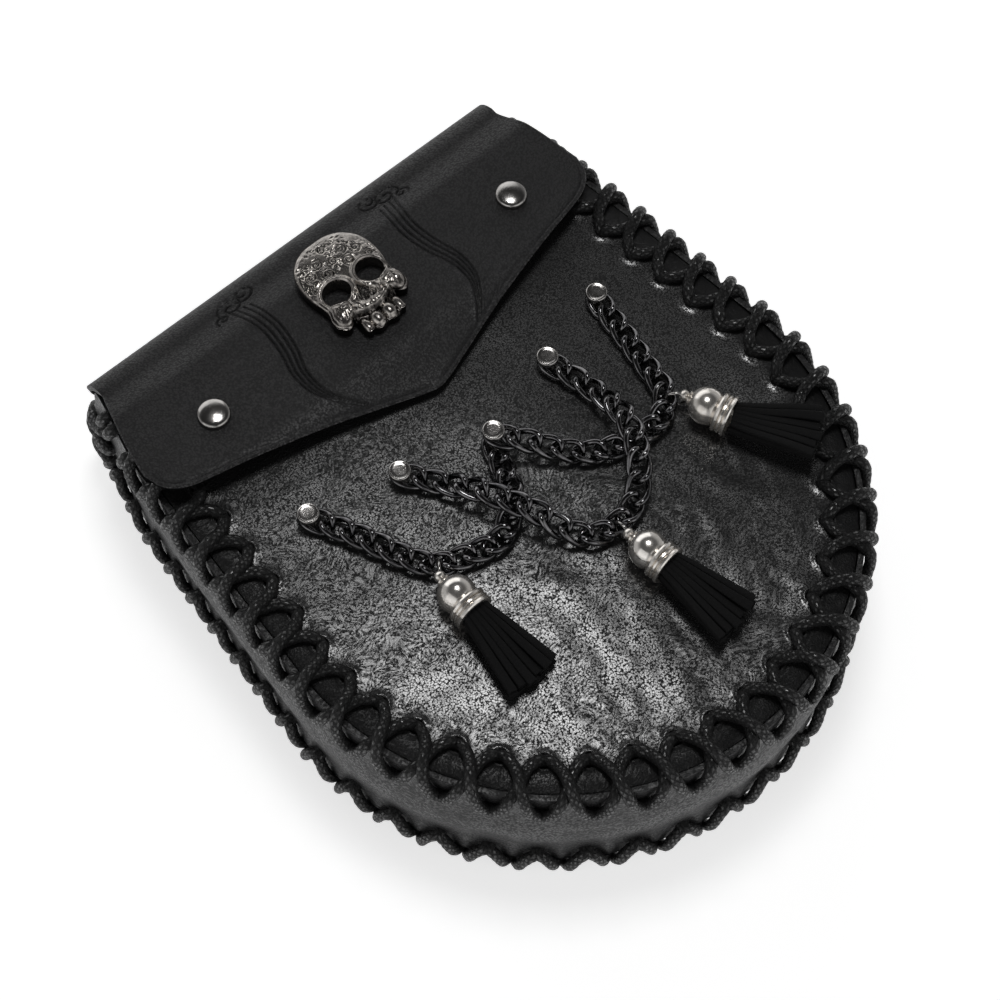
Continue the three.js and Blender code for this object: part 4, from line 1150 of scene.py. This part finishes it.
def buildChain(swag):
    frames = linkFrames(swag)
    spots, faces, offset = [], [], 0
    for i, (centre, along, side, up) in enumerate(frames):
        linkSpots, linkFaces = linkMesh(i == 0, i == len(frames) - 1)
        spots.append(centre + linkSpots @ np.array([along, side, up]))
        faces += [tuple(offset + k for k in face) for face in linkFaces]
        offset += len(linkSpots)
    piece = meshPiece(f"chain_{swag['name']}_metal", np.vstack(spots), faces)
    faceOutward(piece)
    nodes = [f"chain_{swag['name']}_link_{i:02d}" for i in range(1, swag["single"] + 1)]
    nodes += [f"chain_{swag['name']}_stretch_{i}" for i in range(1, swag["stretches"] + 1)]
    finishPiece(piece, "gunmetal", *nodes, surface=["blackNickel"], angle=60)
    return frames


# Tassels.
tasselLook = {
    "ball": 5.8, "axis": 6.4, "eyeReach": 2.85, "ballX": 7.4, "ringReach": 0.5, "ringHeight": 4.3,
    "ringRadius": 3.2, "ringWire": 0.5, "collarX": 14.8, "skirt": 26.5, "stripWidth": 2.9, "stripThick": 1.5,
    "layers": [(6, 2.4, 5.2), (5, 0.0, 3.7), (6, -2.4, 2.2)],  # strips, height at the collar, height at the tip
}
tassels = [
    {"name": "left", "x": -40.5, "y": 75.1, "turn": 0.0, "skirtTurn": 0.0, "tipRise": 0.0},
    {"name": "middle", "x": 4.1, "y": 51.0, "turn": 6.0, "skirtTurn": 3.0, "tipRise": 0.0},
    {"name": "right", "x": 51.2, "y": 71.1, "turn": 20.0, "skirtTurn": 14.0, "tipRise": 4.5},
]


def tasselPlaces(frames, spec):
    angle = -math.pi / 2 + math.radians(spec["turn"])
    along = np.array([math.cos(angle), math.sin(angle), 0])
    wanted = np.array([spec["x"], tipY + spec["y"], 0]) - along * tasselLook["ballX"]
    best = None
    level = np.array([1, 1, 0])
    for centre, way, side, _ in frames:
        out, way = unit(side * level), unit(way * level)
        if out.dot(along) < 0:
            out = -out
        wire = centre * level + out * linkLook["halfWidth"]
        wire = wire + way * np.clip((wanted - wire).dot(way), -0.4, 0.4)
        eye = wire + out * tasselLook["eyeReach"]
        if best is None or np.linalg.norm(eye - wanted) < best[0]:
            best = (np.linalg.norm(eye - wanted), wire, out, eye)
    return best[1], best[2], best[3], along


def toFrame(spots, origin, along):
    ground = np.array([origin[0], origin[1], frontHeight(origin[0], origin[1])])
    return ground + spots @ np.array([along, np.cross([0, 0, 1.0], along), [0, 0, 1.0]])


def roundRing(name, radius, wire, centre, normal, steps=40, count=10):
    normal = np.array(normal, dtype=float)
    first = unit(np.cross(normal, [1.0, 0, 0] if abs(normal[0]) < 0.9 else [0, 1.0, 0]))
    second = np.cross(normal, first)
    angle = np.arange(steps) * 2 * math.pi / steps
    out = np.cos(angle)[:, None] * first + np.sin(angle)[:, None] * second
    rings = tubeRings(np.array(centre) + radius * out, out, np.broadcast_to(normal, out.shape), wire, count)
    return meshPiece(name, rings.reshape(-1, 3), ringFaces(steps, count, True, 0))


def buildTassel(frames, spec):
    look, name = tasselLook, spec["name"]
    wire, out, eye, along = tasselPlaces(frames, spec)
    ringCentre = (look["ringReach"], 0, look["ringHeight"])
    ring = roundRing(f"jump_ring_{name}_metal", look["ringRadius"], look["ringWire"], ringCentre, (0, 1, 0))
    faceOutward(ring)
    writePoints(ring, toFrame(readPoints(ring), wire, out))
    finishPiece(ring, "nickel", f"jump_ring_{name}", surface=["capSteel"], angle=60)
    r = look["ball"]
    arc = [(r * math.sin(t), -r * math.cos(t)) for t in np.linspace(0.36, 2.2, 24)]
    end = arc[-1][1]
    knob = [(0, 3.2), (0.9, 3.1), (1.6, 2.5), (1.85, 1.7), (1.6, 0.95), (1.15, 0.55), (2.0, 0.35), (2.3, 0.1),
            (2.2, -0.25)]
    collar = [(0.86, 0.1), (1.04, 0.35), (1.09, 0.9), (1.04, 1.5), (0.94, 1.7), (1.0, 1.9), (1.06, 2.2), (1.06, 2.7),
              (1.0, 3.0), (0.95, 3.15), (1.0, 3.3), (1.08, 3.5), (1.11, 4.1), (1.05, 4.5), (0.86, 4.5), (0.84, 2.5),
              (0, 2.3)]
    profile = [(x, -r - z) for x, z in knob] + arc + [(r * x, end + z) for x, z in collar]
    cap = spinProfile(f"tassel_cap_{name}_metal", profile, 56)
    spots = readPoints(cap)
    spots = np.stack([spots[:, 2] + look["ballX"], spots[:, 1], -spots[:, 0] + look["axis"]], axis=1)
    writePoints(cap, toFrame(spots, eye, along))
    finishPiece(cap, "nickel", f"tassel_cap_{name}", surface=["brightNickel"], angle=35)
    buildSkirt(spec, eye, along)


def buildSkirt(spec, eye, along):
    look = tasselLook
    turn = math.radians(spec["skirtTurn"])
    clear = 0.5 + 5.2 * math.sin(turn)
    spots, faces, offset = [], [], 0
    for layer, (count, rootZ, tipZ) in enumerate(look["layers"]):
        for i in range(count):
            share = (i + 0.5) / count * 2 - 1
            wobble = 0.5 * math.sin(5.1 * i + 2.3 * layer)
            length = look["skirt"] * (1 - 0.05 * abs(share)) + 0.6 * math.sin(3.7 * i + layer)
            rootReach = math.sqrt(max(0, 4.6 ** 2 - rootZ ** 2))
            t = np.linspace(0, 1, 14)
            x = 0.2 + t * length
            y = share * lerp(rootReach, 9.3 + wobble, t ** 0.9)
            z = look["axis"] + rootZ * (1 - t) + (spec["tipRise"] + tipZ - look["axis"]) * smooth(t, 0.05, 1.0)
            z = z + (0.45 * (-1) ** i + 0.3 * math.sin(2.2 * i + layer)) * t + 0.3 * np.sin(t * 3 + i)
            z = np.maximum(z, 0.8)
            line = np.stack([x, y, z], axis=1)
            direction = unit(np.gradient(line, axis=0))
            tilt = 0.3 * math.sin(2.9 * i + layer) - 0.25 * share
            up = np.array([0, math.sin(tilt), math.cos(tilt)])
            ups = unit(up - direction * (direction @ up)[:, None])
            side = np.cross(direction, ups)
            width = look["stripWidth"] * lerp(0.27, 0.5, t)[:, None]
            angles = (np.arange(12) + 0.5) / 12 * 2 * math.pi
            section = [(np.sign(c) * abs(c) ** 0.55, look["stripThick"] / 2 * np.sign(d) * abs(d) ** 0.7)
                       for c, d in zip(np.cos(angles), np.sin(angles))]
            rings = np.stack([line + c * width * side + d * ups for c, d in section], axis=1)
            spots.append(rings.reshape(-1, 3))
            faces += ringFaces(len(line), len(section), False, offset)
            offset += len(line) * len(section)
    spots = np.vstack(spots)
    c, s = math.cos(turn), math.sin(turn)
    turned = np.stack([spots[:, 0] * c - spots[:, 1] * s, spots[:, 0] * s + spots[:, 1] * c, spots[:, 2]], axis=1)
    turned[:, 0] += look["collarX"] + clear - 1.0
    piece = meshPiece(f"tassel_skirt_{spec['name']}_suede", toFrame(turned, eye, along), faces)
    faceOutward(piece)
    finishPiece(piece, "suede", f"tassel_skirt_{spec['name']}", surface=["suede"], angle=30)


for swag, spec in zip(swags, tassels):
    buildTassel(buildChain(swag), spec)
print("chains and tassels made")


# Skull badge.
badgeLook = {
    "x": -0.2, "y": 172.0, "around": 360, "rings": 92, "rim": 3.9, "dome": 1.7, "wall": 3.5,
    "outline": [(0, 18.2), (5, 17.8), (9.6, 15.4), (12.7, 11.2), (13.8, 6.2), (13.6, 1.8), (12.8, -1.8), (12.7, -5.0),
                (13.7, -8.0), (13.3, -10.9), (11.2, -12.7), (9.2, -12.0), (7.9, -10.9), (7.8, -13.2), (7.9, -15.6),
                (6.9, -17.4), (5.2, -17.3), (3.6, -18.3), (1.9, -18.2), (0, -17.7)],
    "curls": [(-4.0, 5.6, 2.1, 1), (4.0, 5.6, 2.1, -1), (-8.6, 8.2, 2.1, -1), (8.6, 8.2, 2.1, 1), (-4.6, 10.6, 1.9, -1),
              (4.6, 10.6, 1.9, 1), (0, 14.0, 1.6, 1), (-10.8, 4.2, 1.5, 1), (10.8, 4.2, 1.5, -1), (0, 8.4, 1.6, 1)],
    "socketX": 6.5, "socketY": -1.1, "socketRadius": (4.7, 4.2),
}


def bump2d(x, y, centreX, centreY, radiusX, radiusY, height):
    reach = ((x - centreX) / radiusX) ** 2 + ((y - centreY) / radiusY) ** 2
    return height * np.sqrt(np.maximum(0, 1 - reach))


def skullHeight(x, y, share):
    look = badgeLook
    ax = np.abs(x)
    jawY = y - 0.045 * ax ** 2 * smooth(8.4 - ax, 0, 1.6)
    socketWidth, socketHeight = look["socketRadius"]
    reach = np.hypot((ax - look["socketX"]) / socketWidth, (y - look["socketY"]) / socketHeight)
    z = look["rim"] + look["dome"] * (1 - share ** 2.4)
    z = z + bump2d(ax, y, 9.8, -7.8, 3.9, 4.4, 1.5)
    z = z + bump2d(x, y, 0, -9.6, 6.6, 4.8, 0.8)
    calm = z
    z = z + 0.8 * np.exp(-((reach - 1.16) / 0.14) ** 2)
    bridge = np.maximum(ax * 1.2 + (y + 4.0) * 0.5 - 0.9, -(y + 7.9))
    nose = np.minimum(bridge, np.hypot(ax - 1.4, y + 8.0) - 1.5)
    z = z + 0.8 * np.exp(-((nose - 0.45) / 0.35) ** 2) - 0.55 * smooth(-nose, -0.1, 0.5)
    for centre in (2.2, 6.1):
        z = z + bump2d(ax, y, centre, -11.0 + 0.045 * centre ** 2, 1.7, 1.9, 0.45)
    z = z - 0.9 * np.exp(-((jawY + 12.2) / 0.45) ** 2) * smooth(8.6 - ax, 0, 1)
    lumps = 0.0
    for centre, width, tall in ((-6.1, 1.7, 0.8), (-2.2, 2.3, 1.5), (2.2, 2.3, 1.5), (6.1, 1.7, 0.8)):
        lumps = np.maximum(lumps, bump2d(x, y, centre, -15.0, width, 3.1, tall))
    teeth = smooth(-jawY, 12.3, 12.8)
    z = lerp(z, 3.0 + 1.5 * lumps, teeth)
    z = z - 1.6 * smooth(-y, 9.5, 12.5) * np.exp(-((ax - 8.3) / 0.7) ** 2)
    calm = lerp(calm, 3.0 + 1.5 * np.maximum(lumps, 0.35), teeth)
    return z, calm, reach, teeth


def buildSkull():
    look = badgeLook
    half = look["outline"]
    ring = [(x, y, 0) for x, y in half] + [(-x, y, 0) for x, y in reversed(half[1:-1])]
    ring = evenSteps(splineThrough(ring, 16, closed=True), 0.1, closed=True)
    pick = np.linspace(0, len(ring), look["around"], endpoint=False).astype(int)
    rim = ring[pick][:, :2]
    socketX, socketY = look["socketX"], look["socketY"]
    curls = []
    for cx, cy, size, way in look["curls"]:
        t = np.linspace(0, 1, 46)
        angle = way * t * 3.2 * math.pi + cx
        r = size * (1 - 0.82 * t)
        curls.append(np.stack([cx + r * np.cos(angle), cy + r * np.sin(angle), 0 * t], axis=1))

    def relief(x, y, share):
        z, calm, reach, teeth = skullHeight(x, y, share)
        plain = (1 - teeth) * smooth(reach, 1.2, 1.45)
        cut = nearestLine(x, y, curls)
        z = z - 0.42 * np.exp(-(cut / 0.2) ** 2) * plain * smooth(y, -2, 1)
        dots = softNoise(x, y, 0.8, 6.1, 1)
        patches = smooth(softNoise(x, y, 5.0, 1.9, 1), -0.3, 0.1)
        z = z - 0.24 * smooth(dots, 0.08, 0.3) * plain * smooth(y, -1, 3) * patches
        lower = (1 - smooth(y, -3, 0)) * (1 - teeth) * smooth(reach, 1.25, 1.5)
        z = z + 0.36 * softNoise(x * 1.4 - y * 0.5, y * 0.5 + x * 0.3, 1.2, 2.2, 2) * lower
        return z, 0.9 * smooth(calm - z, 0.02, 0.62)

    around, rings = look["around"], look["rings"]
    shares = np.concatenate([np.linspace(0, 0.97, rings - 4), [0.985, 0.995, 1.0, 1.0]])
    spots, hollows = [], [np.zeros(1)]
    for k, share in enumerate(shares[1:], 1):
        x, y = rim[:, 0] * share, rim[:, 1] * share
        z, hollow = relief(x, y, share)
        z = np.maximum(z, 0.6)
        hollows.append(np.maximum(hollow, smooth(share, 0.985, 1.0) * 0.9))
        z = lerp(z, np.minimum(z, look["wall"]), smooth(share, 0.93, 1.0))
        if k == len(shares) - 1:
            z = np.zeros(around)
        spots.append(np.stack([x, y, z], axis=1))
    centre = np.array([[0, 0, float(relief(np.zeros(1), np.zeros(1), 0.0)[0][0])]])
    total = np.vstack([centre, *spots])
    faces = [(0, 1 + (k + 1) % around, 1 + k) for k in range(around)]
    for i in range(len(spots) - 1):
        here, there = 1 + i * around, 1 + (i + 1) * around
        faces += [(here + k, here + (k + 1) % around, there + (k + 1) % around, there + k) for k in range(around)]
    last = 1 + (len(spots) - 1) * around
    faces.append(tuple(last + k for k in range(around)))
    piece = meshPiece("skull_badge_metal", total, faces)
    storeValue(piece, "hollow", np.concatenate(hollows))
    mergeDoubles(piece, 0.0005)
    faceOutward(piece)
    cutters = []
    for side in (-1, 1):
        deselectAll()
        bpy.ops.mesh.primitive_cylinder_add(vertices=64, radius=1, depth=20)
        cutters.append(bpy.context.object)
        cutSpots = readPoints(cutters[-1]) * np.array([*look["socketRadius"], 1.0])
        writePoints(cutters[-1], cutSpots + np.array([side * socketX, socketY, 8]))
    cutAway(piece, joinAll("sockets", cutters))
    base = float(flapTop(np.array(look["x"]), np.array(look["y"])))
    writePoints(piece, readPoints(piece) + np.array([look["x"], tipY + look["y"], base + 0.15]))
    finishPiece(piece, "pewter", "skull_badge", surface=["agedPewter"], angle=50)


buildSkull()
print("skull badge made")


# Floor, lights and camera.
stageLook = {
    "floor": 4.0, "overhead": 0.03, "horizon": 0.38,
    "lamps": (
        ("backSoftbox", (0.35, 1.05, 0.5), (1.5, 0.7), 3.0),
        ("sideSoftbox", (-1.0, -0.2, 0.55), (1.2, 0.9), 1.8),
        ("lowSoftbox", (0.15, -1.0, 0.55), (1.2, 0.9), 1.8),
        ("topSoftbox", (0.12, 0.15, 1.05), (0.26, 0.28), 2.5),
    ),
}


def addStage():
    deselectAll()
    bpy.ops.mesh.primitive_plane_add(size=stageLook["floor"], location=(0, 0, -0.0002))
    floor = bpy.context.object
    floor.name = "floor"
    bpy.ops.object.transform_apply(location=True, rotation=False, scale=False)
    floor.data.materials.append(materials["floorPaper"])
    world = bpy.data.worlds.new("studioAir")
    world.use_nodes = True
    tree = world.node_tree
    parts = tree.nodes.new("ShaderNodeSeparateXYZ")
    tree.links.new(tree.nodes.new("ShaderNodeTexCoord").outputs["Generated"], parts.inputs[0])
    tree.links.new(spread(tree, parts.outputs[2], 0.3, 0.75, stageLook["horizon"], stageLook["overhead"]),
                   tree.nodes["Background"].inputs["Strength"])
    tree.nodes["Background"].inputs["Color"].default_value = (1, 1, 1, 1)
    bpy.context.scene.world = world
    for name, place, size, power in stageLook["lamps"]:
        lamp = bpy.data.lights.new(name, "AREA")
        lamp.shape, lamp.size, lamp.size_y, lamp.energy = "RECTANGLE", size[0], size[1], power
        holder = bpy.data.objects.new(name, lamp)
        holder.location = place
        holder.rotation_euler = (Vector((0, 0, 0.03)) - Vector(place)).to_track_quat("-Z", "Y").to_euler()
        bpy.context.scene.collection.objects.link(holder)


cameraLook = {"azimuth": -44.48, "elevation": 63.28, "roll": 2.82, "lens": 80.0, "sensor": 36.0,
              "place": (-0.2179, -0.2149, 0.6385)}


def addCamera():
    azimuth, elevation, roll = [math.radians(cameraLook[turn]) for turn in ("azimuth", "elevation", "roll")]
    back = Vector((math.sin(azimuth) * math.cos(elevation), -math.cos(azimuth) * math.cos(elevation),
                   math.sin(elevation)))
    right = Vector((math.cos(azimuth), math.sin(azimuth), 0))
    up = back.cross(right)
    tiltedRight = right * math.cos(roll) + up * math.sin(roll)
    tiltedUp = up * math.cos(roll) - right * math.sin(roll)
    lens = bpy.data.cameras.new("viewCamera")
    lens.lens, lens.sensor_width = cameraLook["lens"], cameraLook["sensor"]
    lens.clip_start, lens.clip_end = 0.01, 20
    camera = bpy.data.objects.new("viewCamera", lens)
    place = Matrix((tiltedRight, tiltedUp, back)).transposed().to_4x4()
    place.translation = cameraLook["place"]
    camera.matrix_world = place
    bpy.context.scene.collection.objects.link(camera)
    bpy.context.scene.camera = camera


addStage()
addCamera()
bpy.context.scene.view_settings.view_transform = "Standard"
print("stage set")
